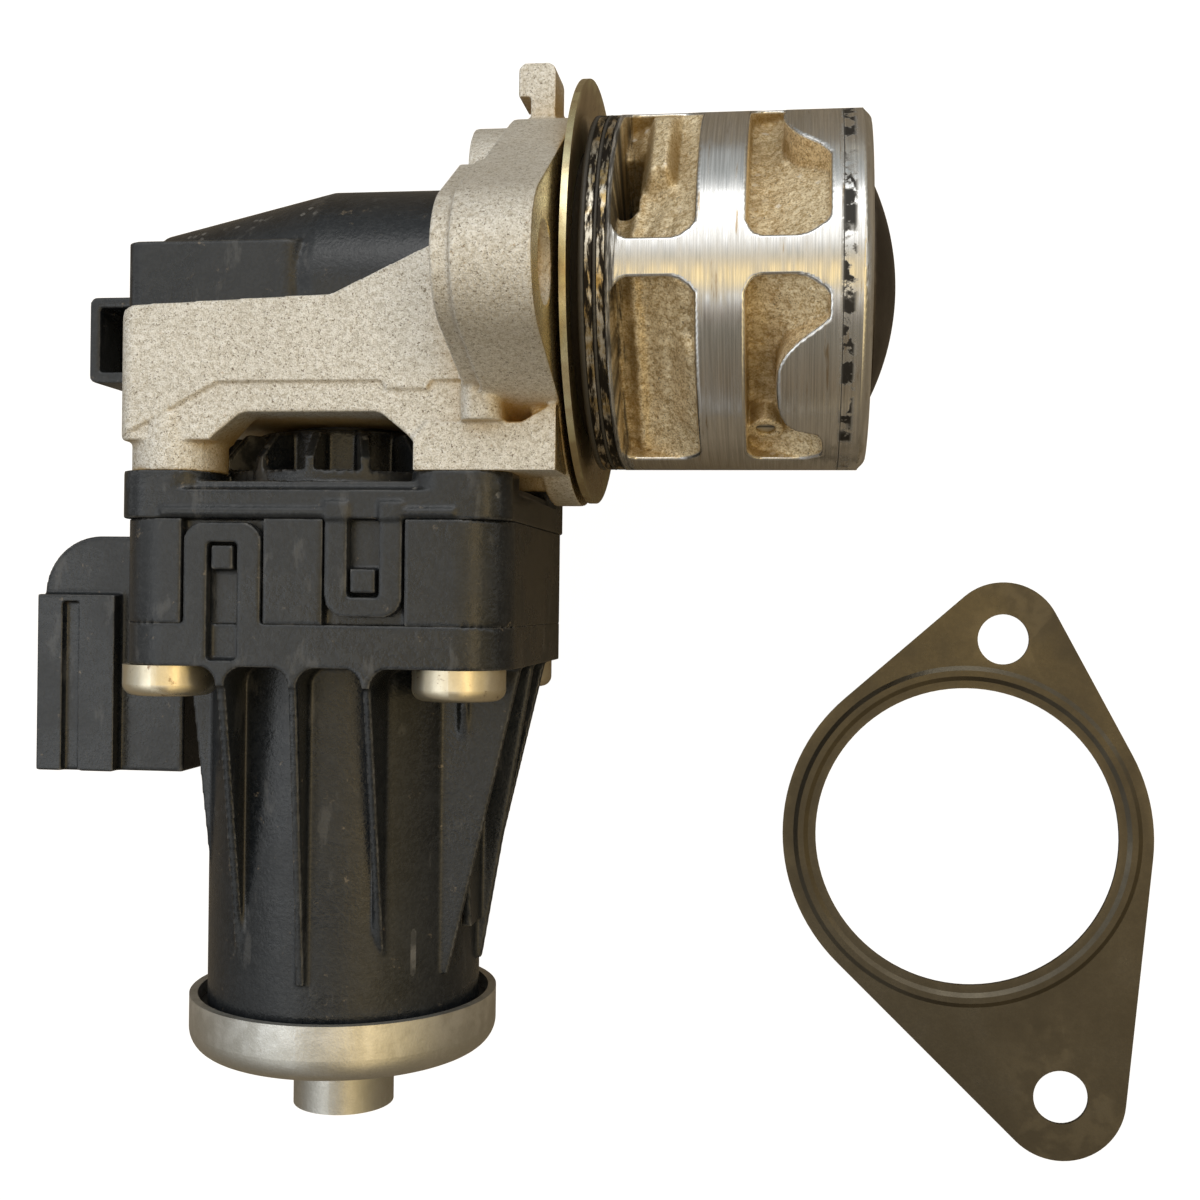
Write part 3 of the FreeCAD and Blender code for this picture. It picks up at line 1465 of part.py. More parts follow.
def brush_springs():
    made = []
    for side in (-1, 1):
        leaf = brush_box(side, brush_length + slip, brush_length + brush_spring_thickness, 0)
        made.append(leaf)
    return Part.makeCompound(made)


def brush_plate():
    plate = rod_y(can_radius - slip, can_top_y, brush_plate_top_y, motor_x, motor_z)
    end = brush_length + brush_spring_thickness + brush_holder_wall
    holders = []
    rooms = []
    for side in (-1, 1):
        holder = brush_box(side, brush_holder_wall, end, brush_holder_wall)
        bounds = holder.BoundBox
        holders.append(box(bounds.XMin, bounds.XMax, bounds.YMin, can_top_y + 1, bounds.ZMin, bounds.ZMax))
        rooms.append(brush_box(side, -loose_gap, end - brush_holder_wall + slip, slip))
    hole = rod_y(rotor_shaft_radius + bearing_wall + slip, can_top_y - 1, brush_plate_top_y + 1,
                 motor_x, motor_z)
    return cut(join(plate, *holders), hole, *rooms)


def motor_bearing_top():
    return ring_y(rotor_shaft_radius + bearing_wall, rotor_shaft_radius + running_gap,
                  brush_plate_top_y - loose_gap, case_housing_y - 1.2, motor_x, motor_z)


def motor_bearing_bottom():
    bottom = end_cap_bottom_y - nub_length + end_cap_wall + slip
    return ring_y(nub_radius - end_cap_wall - slip, rotor_shaft_radius + running_gap, bottom,
                  end_cap_bottom_y + end_cap_wall - 0.4, motor_x, motor_z)


def cup(radius, nub, bottom, top, nub_bottom, rounding):
    wall_part = rod_y(radius, bottom, top, motor_x, motor_z)
    low = min(wall_part.Edges, key=lambda e: e.BoundBox.YMax + (99 if len(e.Vertexes) > 1 else 0))
    wall_part = wall_part.makeFillet(rounding, [low])
    return join(wall_part, rod_y(nub, nub_bottom, bottom + 1, motor_x, motor_z))


def motor_end_cap():
    outside = cup(end_cap_radius, nub_radius, end_cap_bottom_y, end_cap_rim_y,
                  end_cap_bottom_y - nub_length, end_cap_round)
    inside = cup(end_cap_radius - end_cap_wall, nub_radius - end_cap_wall, cap_floor_y, end_cap_rim_y + 1,
                 end_cap_bottom_y - nub_length + end_cap_wall, end_cap_round - end_cap_wall)
    return cut(outside, inside)


def end_cap_seal():
    top = end_cap_rim_y - cap_seal_depth
    return ring_y(end_cap_radius - end_cap_wall - slip, core_radius + slip, top - cap_seal_height, top,
                  motor_x, motor_z)


def sensor_board():
    left = case_left + case_wall + free_gap
    right = motor_x - wheel_pitch_radius - addendum_factor * gear_module - loose_gap
    back = plug_back + free_gap
    return box(left, right, board_bottom_y, board_bottom_y + board_thickness, back, plug_front + 2)


def flange_gasket():
    base = floor_z
    start = math.radians(gasket_front_ear_angle)
    far = start - math.radians(back_ear_spread)
    near = (gasket_x + front_ear_reach * math.cos(start), gasket_y + front_ear_reach * math.sin(start))
    away = (gasket_x + back_ear_reach * math.cos(far), gasket_y + back_ear_reach * math.sin(far))
    circle = (gasket_x, gasket_y, gasket_ring_radius)
    ears = [(*near, front_ear_radius), (*away, back_ear_radius)]
    sheet = eared_plate(circle, ears, lambda x, y: vec(x, y, base), vec(0, 0, gasket_thickness))
    bead_middle = gasket_x + gasket_bore_radius + gasket_bead_offset
    top = base + gasket_thickness
    profile = face_of([
        vec(bead_middle - gasket_bead_half_width, gasket_y, top - slip),
        vec(bead_middle - gasket_bead_top_half_width, gasket_y, top + gasket_bead_height),
        vec(bead_middle + gasket_bead_top_half_width, gasket_y, top + gasket_bead_height),
        vec(bead_middle + gasket_bead_half_width, gasket_y, top - slip),
    ])
    bead = profile.revolve(vec(gasket_x, gasket_y, 0), axis_z, 360)
    holes = [
        rod_z(gasket_bore_radius, base - 1, top + 1, gasket_x, gasket_y),
        rod_z(bolt_hole_radius, base - 1, top + 1, *near),
        rod_z(bolt_hole_radius + gasket_far_hole_extra, base - 1, top + 1, *away),
    ]
    return cut(join(sheet, bead), *holes)


parts = {
    "valve_body": valve_body(),
    "valve_cage": valve_cage(),
    "heat_shield_disc": heat_shield_disc(),
    "cage_seal_rings": cage_seal_rings(),
    "cage_set_screw": cage_set_screw(),
    "mid_seat_ring": mid_seat_ring(),
    "end_seat_ring": end_seat_ring(),
    "stem_guide_bush": stem_guide_bush(),
    "stem_seal": stem_seal(),
    "seal_retainer": seal_retainer(),
    "valve_stem": valve_stem(),
    "stem_yoke": stem_yoke(),
    "yoke_pin": yoke_pin(),
    "mid_poppet": mid_poppet(),
    "end_poppet": end_poppet(),
    "crank_arm": crank_arm(),
    "crank_pin": crank_pin(),
    "crank_roller": crank_roller(),
    "output_shaft": output_shaft(),
    "arm_bush": arm_bush(),
    "tower_bush": tower_bush(),
    "shaft_seal": shaft_seal(),
    "output_gear": output_gear(),
    "sensor_magnet": sensor_magnet(),
    "return_spring": return_spring(),
    "intermediate_gear": intermediate_gear(),
    "intermediate_pin": intermediate_pin(),
    "motor_pinion": motor_pinion(),
    "gear_cover": gear_cover(),
    "gear_case": gear_case(),
    "connector_terminals": connector_terminals(),
    "sensor_board": sensor_board(),
    "motor_housing": motor_housing(),
    "linkage_cover": linkage_cover(),
    "linkage_cover_seal": linkage_cover_seal(),
    "case_screws": case_screws(),
    "motor_can": motor_can(),
    "motor_magnets": motor_magnets(),
    "armature_stack": armature_stack(),
    "armature_winding": armature_winding(),
    "commutator": commutator(),
    "rotor_shaft": rotor_shaft(),
    "brushes": brushes(),
    "brush_springs": brush_springs(),
    "brush_plate": brush_plate(),
    "motor_bearing_top": motor_bearing_top(),
    "motor_bearing_bottom": motor_bearing_bottom(),
    "motor_end_cap": motor_end_cap(),
    "end_cap_seal": end_cap_seal(),
    "flange_gasket": flange_gasket(),
}

os.makedirs("parts", exist_ok=True)
for name, shape in parts.items():
    shape.exportStep("parts/" + name + ".step")
    print(name, "solids", len(shape.Solids), "valid", shape.isValid(), "volume", round(shape.Volume, 1))
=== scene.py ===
import bpy, bmesh, json, math
import numpy as np
from mathutils import Matrix, Vector, noise


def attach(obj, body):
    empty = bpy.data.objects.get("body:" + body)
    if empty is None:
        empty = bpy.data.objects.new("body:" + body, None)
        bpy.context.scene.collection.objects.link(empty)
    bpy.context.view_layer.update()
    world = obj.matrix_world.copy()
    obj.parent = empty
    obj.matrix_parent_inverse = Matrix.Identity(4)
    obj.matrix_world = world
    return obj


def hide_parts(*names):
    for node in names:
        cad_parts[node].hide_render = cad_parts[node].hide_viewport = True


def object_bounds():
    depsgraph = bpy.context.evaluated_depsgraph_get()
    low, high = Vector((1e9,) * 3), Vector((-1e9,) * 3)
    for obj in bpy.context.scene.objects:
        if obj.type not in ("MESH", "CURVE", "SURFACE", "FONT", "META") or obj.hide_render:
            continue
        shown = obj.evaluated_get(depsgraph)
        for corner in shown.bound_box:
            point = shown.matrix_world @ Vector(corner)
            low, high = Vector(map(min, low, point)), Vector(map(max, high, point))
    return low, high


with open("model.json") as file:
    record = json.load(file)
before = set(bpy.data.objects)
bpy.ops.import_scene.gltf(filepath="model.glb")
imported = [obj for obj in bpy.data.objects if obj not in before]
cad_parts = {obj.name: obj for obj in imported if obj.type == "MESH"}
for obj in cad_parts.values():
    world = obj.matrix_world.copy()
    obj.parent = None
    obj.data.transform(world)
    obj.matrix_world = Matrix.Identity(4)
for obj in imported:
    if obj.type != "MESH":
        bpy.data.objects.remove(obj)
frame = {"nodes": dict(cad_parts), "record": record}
nodes = frame["nodes"]
cadLow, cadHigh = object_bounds()
mm = 0.001
print("frame loaded:", len(nodes), "nodes")


# short ways to add shader nodes

def feed(tree, socket, value):
    # links the socket to the one that feeds it, or sets a plain number or colour
    if isinstance(value, bpy.types.NodeSocket):
        tree.links.new(value, socket)
    else:
        socket.default_value = value


def put(tree, kind, inputs=None, **settings):
    made = tree.nodes.new("ShaderNode" + kind)
    for name, value in settings.items():
        setattr(made, name, value)
    for name, value in (inputs or {}).items():
        feed(tree, made.inputs[name], value)
    return made


def maths(tree, operation, first, second=0.0):
    return put(tree, "Math", {0: first, 1: second}, operation=operation).outputs[0]


def times(tree, first, second):
    return maths(tree, "MULTIPLY", first, second)


def remap(tree, value, low, high, toLow=0.0, toHigh=1.0):
    # a soft step: low becomes toLow and high becomes toHigh
    inputs = {"Value": value, "From Min": low, "From Max": high, "To Min": toLow, "To Max": toHigh}
    return put(tree, "MapRange", inputs, interpolation_type="SMOOTHSTEP").outputs["Result"]


def blendColour(tree, share, first, second):
    # the numbers are the Mix node's colour sockets
    made = put(tree, "Mix", data_type="RGBA")
    for index, value in ((0, share), (6, first), (7, second)):
        feed(tree, made.inputs[index], value)
    return made.outputs[2]


def tint(tree, tone, mask, colour, share):
    # lays a colour over the tone where the mask is, as strongly as the share
    return blendColour(tree, times(tree, mask, share), tone, colour)


def between(tree, share, low, high):
    # goes from low to high as the share goes from 0 to 1
    return remap(tree, share, 0.0, 1.0, low, high)


def noiseOf(tree, place, scale, form):
    inputs = {"Vector": place, "Scale": scale, "Detail": form["detail"],
              "Roughness": form.get("roughness", 0.5), "Distortion": form.get("twist", 0.0)}
    return put(tree, "TexNoise", inputs).outputs["Fac"]


def split(tree, vector):
    return put(tree, "SeparateXYZ", {"Vector": vector}).outputs


def bump(tree, height, strength, depth, under=None):
    # the depth is in millimetres; a relief in the looks is a strength and a depth
    inputs = {"Strength": strength, "Distance": depth * mm, "Height": height}
    if under:
        inputs["Normal"] = under
    return put(tree, "Bump", inputs).outputs["Normal"]


hollowSamples = 6


def paintHollowShade(tree, tone, form):
    # painted shade: lays the form's colour over corners and recesses, where little is open within its reach
    inputs = {"Distance": form["reach"] * mm}
    openness = put(tree, "AmbientOcclusion", inputs, samples=hollowSamples).outputs["AO"]
    share = remap(tree, openness, *form["openness"], form["share"], 0.0)
    return blendColour(tree, share, tone, form["colour"])


def startGroup(name, ins, outs):
    group = bpy.data.node_groups.new(name, "ShaderNodeTree")
    for label, value in ins.items():
        kind = "NodeSocketVector" if isinstance(value, tuple) else "NodeSocketFloat"
        socket = group.interface.new_socket(label, in_out="INPUT", socket_type=kind)
        socket.default_value = value
    for label in outs:
        group.interface.new_socket(label, in_out="OUTPUT", socket_type="NodeSocketFloat")
    inside = group.nodes.new("NodeGroupInput")
    outside = group.nodes.new("NodeGroupOutput")
    return group, inside.outputs, outside.inputs


def useGroup(tree, name, inputs):
    made = put(tree, "Group", node_tree=bpy.data.node_groups[name])
    for label, value in inputs.items():
        feed(tree, made.inputs[label], value)
    return made.outputs


def startMaterial(name, roughness, metallic, **plain):
    material = bpy.data.materials.new(name)
    material.use_nodes = True
    tree = material.node_tree
    shader = tree.nodes["Principled BSDF"]
    shader.inputs["Roughness"].default_value = roughness
    shader.inputs["Metallic"].default_value = metallic
    for label, value in plain.items():
        shader.inputs[label.replace("_", " ")].default_value = value
    return material, tree, shader.inputs


# effects that several finishes share

grainForm = {
    # coarse grains, pits and flecks have their scale as a share of the fine grain's
    "scale": 620.0, "fineShare": 0.62,
    "fine": {"detail": 3.0, "roughness": 0.6}, "coarse": {"scale": 0.36, "detail": 2.0},
    "pit": {"scale": 0.8, "detail": 1.0, "twist": 1.1, "none": 0.78, "reach": 0.4, "edge": 0.09},
    "fleck": {"scale": 0.22, "detail": 5.0, "roughness": 0.7, "none": 0.8, "reach": 0.5, "edge": 0.12},
    "cloud": {"scale": 110.0, "detail": 3.0, "range": (0.35, 0.68)},
}


def spotsOf(tree, place, scale, share, form):
    # spots of a noise: none at share 0, more of them as the share rises
    spots = noiseOf(tree, place, times(tree, scale, form["scale"]), form)
    start = maths(tree, "SUBTRACT", form["none"], times(tree, share, form["reach"]))
    return remap(tree, spots, start, maths(tree, "ADD", start, form["edge"]))


def makeGrainGroup():
    # sand grain of a casting: rounded grains, dark pits and rusty flecks
    form = grainForm
    coarse, cloud = form["coarse"], form["cloud"]
    tree, ins, outs = startGroup("Cast Grain", {"Grain Size": 0.45, "Pit Share": 0.3, "Fleck Share": 0.2},
                                 ("Height", "Pits", "Flecks", "Clouds"))
    place = put(tree, "TexCoord").outputs["Object"]
    scale = maths(tree, "DIVIDE", form["scale"], ins["Grain Size"])
    small = noiseOf(tree, place, scale, form["fine"])
    large = noiseOf(tree, place, times(tree, scale, coarse["scale"]), coarse)
    feed(tree, outs["Height"], maths(tree, "ADD", times(tree, small, form["fineShare"]),
                                     times(tree, large, 1 - form["fineShare"])))
    feed(tree, outs["Pits"], spotsOf(tree, place, scale, ins["Pit Share"], form["pit"]))
    feed(tree, outs["Flecks"], spotsOf(tree, place, scale, ins["Fleck Share"], form["fleck"]))
    feed(tree, outs["Clouds"], remap(tree, noiseOf(tree, place, cloud["scale"], cloud), *cloud["range"]))


edgeForm = {"wornSpan": 0.05, "dirtAndShadeSpan": 0.06, "breakup": {"detail": 4.0},
            "wornBreaks": (0.4, 0.6, 0.25, 1.0), "dirtAndShadeBreaks": (0.3, 0.6, 0.5, 1.0)}


def makeEdgeGroup():
    # rubbed edges, and concave corners darkened as dirt and painted shade, broken up so that neither runs
    # evenly
    form = edgeForm
    tree, ins, outs = startGroup("Edge Wear And Corner Shade", {"Edge": 0.53, "Corner": 0.47, "Breakup": 260.0},
                                 ("Worn", "Dirt And Shade"))
    point = put(tree, "NewGeometry").outputs["Pointiness"]
    patch = noiseOf(tree, put(tree, "TexCoord").outputs["Object"], ins["Breakup"], form["breakup"])
    worn = remap(tree, point, ins["Edge"], maths(tree, "ADD", ins["Edge"], form["wornSpan"]))
    dirtAndShade = remap(tree, point, maths(tree, "SUBTRACT", ins["Corner"], form["dirtAndShadeSpan"]), ins["Corner"],
                 1.0, 0.0)
    feed(tree, outs["Worn"], times(tree, worn, remap(tree, patch, *form["wornBreaks"])))
    feed(tree, outs["Dirt And Shade"], times(tree, dirtAndShade, remap(tree, patch, *form["dirtAndShadeBreaks"])))


patchForm = {"detail": 6.0, "roughness": 0.62}


def makePatchGroup():
    # clouds and patches of dust, stain or flaking, stretched along any axis
    tree, ins, outs = startGroup("Patches", {"Scale": 90.0, "Cover": 0.5, "Softness": 0.1,
                                             "Stretch": (1.0, 1.0, 1.0)}, ("Mask",))
    place = put(tree, "TexCoord").outputs["Object"]
    stretched = put(tree, "VectorMath", {0: place, 1: ins["Stretch"]}, operation="MULTIPLY").outputs[0]
    patch = noiseOf(tree, stretched, ins["Scale"], patchForm)
    middle = maths(tree, "SUBTRACT", 1.0, ins["Cover"])
    feed(tree, outs["Mask"], remap(tree, patch, maths(tree, "SUBTRACT", middle, ins["Softness"]),
                                   maths(tree, "ADD", middle, ins["Softness"])))


turnedForm = {"lean": 0.7, "lines": {"detail": 3.0, "roughness": 0.7},
              "smearWidth": 1300.0, "smearReach": 3.0, "smears": {"detail": 5.0, "roughness": 0.65}}


def makeTurnedGroup():
    # lathe lines and smears that run round the spigot's axis
    form = turnedForm
    tree, ins, outs = startGroup("Turned Lines", {"Pitch": 0.25, "Smear Length": 0.5},
                                 ("Lines", "Smears", "Radius", "Along"))
    parts = split(tree, put(tree, "TexCoord").outputs["Object"])
    angle = maths(tree, "ARCTAN2", parts["Y"], parts["Z"])
    sine, cosine = maths(tree, "SINE", angle), maths(tree, "COSINE", angle)
    radius = maths(tree, "SQRT", maths(tree, "ADD", times(tree, parts["Y"], parts["Y"]),
                                       times(tree, parts["Z"], parts["Z"])))
    step = maths(tree, "DIVIDE", maths(tree, "ADD", parts["X"], times(tree, radius, form["lean"])),
                 times(tree, ins["Pitch"], mm))
    wrapped = put(tree, "CombineXYZ", {"X": step, "Y": sine, "Z": cosine}).outputs[0]
    feed(tree, outs["Lines"], noiseOf(tree, wrapped, 1.0, form["lines"]))
    reach = maths(tree, "DIVIDE", form["smearReach"], ins["Smear Length"])
    around = put(tree, "CombineXYZ", {"X": times(tree, parts["X"], form["smearWidth"]),
                                      "Y": times(tree, sine, reach), "Z": times(tree, cosine, reach)})
    feed(tree, outs["Smears"], noiseOf(tree, around.outputs[0], 1.0, form["smears"]))
    feed(tree, outs["Radius"], maths(tree, "DIVIDE", radius, mm))
    feed(tree, outs["Along"], maths(tree, "DIVIDE", parts["X"], mm))


makeGrainGroup()
makeEdgeGroup()
makePatchGroup()
makeTurnedGroup()
print("shared effects ready")


castLook = {
    "light": (0.88, 0.865, 0.82, 1), "dark": (0.50, 0.46, 0.385, 1), "toneRange": (0.32, 0.64),
    "grain": {"Grain Size": 0.15, "Pit Share": 0.42, "Fleck Share": 0.36}, "grainRelief": (1.0, 0.22),
    "edges": {"Edge": 0.52, "Corner": 0.492, "Breakup": 220.0},
    "stains": {"Scale": 24.0, "Cover": 0.46, "Softness": 0.2},
    # layers, each with its colour and how strongly it shows
    "stain": ((0.50, 0.42, 0.28, 1), 0.22), "cloud": ((0.46, 0.44, 0.40, 1), 0.12),
    "pit": ((0.12, 0.085, 0.045, 1), 0.8), "fleck": ((0.40, 0.26, 0.11, 1), 0.65),
    # the first colour on the next line darkens concave corners gold-brown: dirt and painted shade
    "dirtAndShade": ((0.26, 0.17, 0.06, 1), 0.8), "rubbed": ((0.90, 0.88, 0.82, 1), 0.55),
    # painted shade: the gold-brown colour laid into the casting's corners and recesses
    "hollow": {"colour": (0.56, 0.36, 0.10, 1), "reach": 9.0, "openness": (0.34, 0.90), "share": 0.85},
    # the milled face's gold colour on the next line is a painted warm reflection
    "milled": ((0.50, 0.42, 0.25, 1), 0.92), "milledFrom": -1.2, "milledBlend": 0.5,
    "milledFacing": (0.7, 0.92), "milledShine": 0.55, "milledMetal": 0.9,
    "roughness": (0.3, 0.7, 0.62, 0.34), "metallic": 0.45,
}


def castAluminium():
    look = castLook
    material, tree, skin = startMaterial("castAluminium", 0.42, look["metallic"])
    grain = useGroup(tree, "Cast Grain", look["grain"])
    edge = useGroup(tree, "Edge Wear And Corner Shade", look["edges"])
    stain = useGroup(tree, "Patches", look["stains"])["Mask"]
    tone = blendColour(tree, remap(tree, grain["Height"], *look["toneRange"]), look["dark"], look["light"])
    # the layer on concave corners darkens them gold-brown: dirt and painted shade
    for mask, layer in ((stain, "stain"), (grain["Clouds"], "cloud"), (grain["Pits"], "pit"),
                        (grain["Flecks"], "fleck"), (edge["Dirt And Shade"], "dirtAndShade"), (edge["Worn"], "rubbed")):
        tone = tint(tree, tone, mask, *look[layer])
    # painted shade: a gold-brown tone over the casting's hollows
    tone = paintHollowShade(tree, tone, look["hollow"])
    # the face that meets the manifold is milled smooth; its gold tint is a painted warm reflection
    place = put(tree, "TexCoord").outputs
    start = look["milledFrom"] * mm
    atFace = remap(tree, split(tree, place["Object"])["X"], start, start + look["milledBlend"] * mm)
    facing = remap(tree, split(tree, place["Normal"])["X"], *look["milledFacing"])
    milled = times(tree, atFace, facing)
    feed(tree, skin["Base Color"], tint(tree, tone, milled, *look["milled"]))
    asCast = remap(tree, grain["Height"], *look["roughness"])
    feed(tree, skin["Roughness"], times(tree, asCast, between(tree, milled, 1.0, look["milledShine"])))
    feed(tree, skin["Metallic"], between(tree, milled, look["metallic"], look["milledMetal"]))
    height = times(tree, grain["Height"], maths(tree, "SUBTRACT", 1.0, milled))
    feed(tree, skin["Normal"], bump(tree, height, *look["grainRelief"]))
    return material


cageLook = {
    "bright": (0.90, 0.895, 0.88, 1), "dull": (0.60, 0.595, 0.58, 1), "stain": (0.36, 0.26, 0.14, 1),
    "lineRange": (0.36, 0.66), "dullSmear": (0.42, 0.62, 0.0, 0.6), "stainSmear": (0.60, 0.72, 0.0, 0.8),
    # the core's gold tones on the next line are a painted warm reflection over the as-cast metal
    "coreLight": (0.98, 0.86, 0.62, 1), "coreDark": (0.50, 0.37, 0.19, 1), "coreRange": (0.38, 0.60),
    # the second colour on the next line darkens concave corners: dirt and painted shade
    "pit": ((0.06, 0.04, 0.02, 1), 0.7), "dirtAndShade": ((0.10, 0.06, 0.025, 1), 0.75),
    "rubbed": ((0.88, 0.86, 0.82, 1), 0.5),
    # painted shade: the dark brown colour laid into the core's corners and recesses
    "hollow": {"colour": (0.30, 0.19, 0.05, 1), "reach": 6.0, "openness": (0.28, 0.74), "share": 0.85},
    "lines": {"Pitch": 0.22, "Smear Length": 1.1},
    "grain": {"Grain Size": 0.17, "Pit Share": 0.36, "Fleck Share": 0.3},
    "edges": {"Edge": 0.53, "Corner": 0.485, "Breakup": 300.0},
    "flakes": {"Scale": 420.0, "Cover": 0.52, "Softness": 0.035},
    "clusters": {"Scale": 95.0, "Cover": 0.56, "Softness": 0.08},
    # radii and places along the spigot in millimetres
    "turnedRadius": (24.55, 24.8), "chamferAt": (38.9, 39.05),
    "soot": (0.016, 0.014, 0.012, 1), "sootRange": (1.4, 3.6), "sootCreep": -9.0, "sootShare": 0.93,
    "seamAt": 36.4, "seamWidth": (0.03, 0.10), "residueAt": 37.1, "residueWidth": (0.5, 1.3),
    "shine": (0.3, 0.7, 0.10, 0.27), "coreRoughness": 0.48, "dirtRoughness": 0.3,
    "coreMetal": (0.5, 0.5, 0.5, 1), "barrelMetal": (0.96, 0.96, 0.96, 1), "dirtyMetal": 0.3,
    "lineRelief": (0.16, 0.04), "coreRelief": (0.55, 0.18),
}


def bandAt(tree, along, middle, width):
    # 1 within the smaller half width of a place along the spigot, 0 beyond the larger
    away = maths(tree, "ABSOLUTE", maths(tree, "SUBTRACT", along, middle))
    return remap(tree, away, *width, 1.0, 0.0)


def cageMetal():
    # turned bright on the barrel, left as cast wherever the cutter did not reach
    look = cageLook
    material, tree, skin = startMaterial("cageMetal", 0.3, 0.95, Anisotropic=0.55)
    feed(tree, skin["Tangent"], put(tree, "Tangent", direction_type="RADIAL", axis="X").outputs[0])
    turned = useGroup(tree, "Turned Lines", look["lines"])
    grain = useGroup(tree, "Cast Grain", look["grain"])
    edge = useGroup(tree, "Edge Wear And Corner Shade", look["edges"])
    side = remap(tree, turned["Radius"], *look["turnedRadius"])
    barrel = maths(tree, "MAXIMUM", side, remap(tree, turned["Along"], *look["chamferAt"]))
    asCast = maths(tree, "SUBTRACT", 1.0, barrel)
    lined = remap(tree, turned["Lines"], *look["lineRange"])
    bright = blendColour(tree, lined, look["bright"], look["dull"])
    bright = blendColour(tree, remap(tree, turned["Smears"], *look["dullSmear"]), bright, look["dull"])
    bright = blendColour(tree, remap(tree, turned["Smears"], *look["stainSmear"]), bright, look["stain"])
    # painted warm reflection: the as-cast core is toned gold
    core = blendColour(tree, remap(tree, grain["Height"], *look["coreRange"]), look["coreDark"],
                       look["coreLight"])
    core = tint(tree, core, grain["Pits"], *look["pit"])
    # concave corners darkened dark brown: dirt and painted shade
    core = tint(tree, core, edge["Dirt And Shade"], *look["dirtAndShade"])
    # painted shade: a dark brown tone over the core's hollows
    core = paintHollowShade(tree, core, look["hollow"])
    tone = blendColour(tree, barrel, core, bright)
    tone = tint(tree, tone, edge["Worn"], *look["rubbed"])
    # soot creeps out of the flange side in ragged streaks, flaking residue lies beyond the seam
    creep = maths(tree, "ADD", turned["Along"], times(tree, turned["Smears"], look["sootCreep"]))
    soot = times(tree, remap(tree, creep, *look["sootRange"], 1.0, 0.0), look["sootShare"])
    flakes = times(tree, useGroup(tree, "Patches", look["flakes"])["Mask"],
                   useGroup(tree, "Patches", look["clusters"])["Mask"])
    residue = times(tree, bandAt(tree, turned["Along"], look["residueAt"], look["residueWidth"]), flakes)
    seam = times(tree, bandAt(tree, turned["Along"], look["seamAt"], look["seamWidth"]), side)
    dirty = maths(tree, "MAXIMUM", soot, maths(tree, "MAXIMUM", residue, seam))
    feed(tree, skin["Base Color"], blendColour(tree, dirty, tone, look["soot"]))
    shine = times(tree, remap(tree, turned["Smears"], *look["shine"]), barrel)
    rough = maths(tree, "ADD", shine, times(tree, asCast, look["coreRoughness"]))
    feed(tree, skin["Roughness"], maths(tree, "ADD", rough, times(tree, dirty, look["dirtRoughness"])))
    metal = blendColour(tree, barrel, look["coreMetal"], look["barrelMetal"])
    feed(tree, skin["Metallic"], times(tree, metal, between(tree, dirty, 1.0, look["dirtyMetal"])))
    rings = bump(tree, times(tree, turned["Lines"], barrel), *look["lineRelief"])
    castHeight = times(tree, grain["Height"], asCast)
    feed(tree, skin["Normal"], bump(tree, castHeight, *look["coreRelief"], rings))
    return material


plasticLook = {
    "base": (0.005, 0.007, 0.010, 1), "dusty": (0.021, 0.024, 0.028, 1),
    "grainDust": (0.42, 0.60, 0.0, 0.75),
    "grain": {"Grain Size": 0.30, "Pit Share": 0.1, "Fleck Share": 0.34}, "grainRelief": (0.75, 0.12),
    "scuffs": {"Scale": 260.0, "Cover": 0.37, "Softness": 0.04, "Stretch": (1.0, 0.35, 1.0)},
    "edges": {"Edge": 0.523, "Corner": 0.478, "Breakup": 420.0},
    "dusts": {"Scale": 60.0, "Cover": 0.5, "Softness": 0.2},
    "dust": ((0.021, 0.024, 0.028, 1), 0.5), "speck": ((0.26, 0.21, 0.15, 1), 0.6),
    "scuff": ((0.17, 0.17, 0.17, 1), 0.2), "rub": ((0.17, 0.17, 0.17, 1), 0.7),
    # the brown colour on the next line darkens concave corners: dirt and painted shade
    "brown": ((0.06, 0.040, 0.016, 1), 0.6),
    "roughness": (0.20, 0.36), "rubbedShine": -0.04,
}


def blackPlastic():
    look = plasticLook
    material, tree, skin = startMaterial("blackPlastic", 0.36, 0.0, Specular_IOR_Level=0.52)
    grain = useGroup(tree, "Cast Grain", look["grain"])
    scuff = useGroup(tree, "Patches", look["scuffs"])["Mask"]
    edge = useGroup(tree, "Edge Wear And Corner Shade", look["edges"])
    dust = useGroup(tree, "Patches", look["dusts"])["Mask"]
    tone = blendColour(tree, remap(tree, grain["Height"], *look["grainDust"]), look["base"], look["dusty"])
    # the brown layer on concave corners is dirt and painted shade
    for mask, layer in ((dust, "dust"), (grain["Flecks"], "speck"), (scuff, "scuff"),
                        (edge["Worn"], "rub"), (edge["Dirt And Shade"], "brown")):
        tone = tint(tree, tone, mask, *look[layer])
    feed(tree, skin["Base Color"], tone)
    rough = between(tree, dust, *look["roughness"])
    feed(tree, skin["Roughness"], maths(tree, "ADD", rough, times(tree, edge["Worn"], look["rubbedShine"])))
    feed(tree, skin["Normal"], bump(tree, grain["Height"], *look["grainRelief"]))
    return material


steelLook = {
    "grain": {"Grain Size": 0.22, "Pit Share": 0.15}, "grainShade": (0.40, 0.62, 0.35, 0.0),
    "edges": {"Edge": 0.53, "Corner": 0.48, "Breakup": 300.0},
    "clouds": {"Scale": 45.0, "Cover": 0.5, "Softness": 0.22},
    "spotShare": 0.8, "dirtAndShadeShare": 0.5, "rubbedShare": 0.4, "rubbedGain": 1.5,
    "smoother": -0.07, "rougher": 0.08, "rust": (0.20, 0.10, 0.04, 1), "grainDepth": 0.12,
}


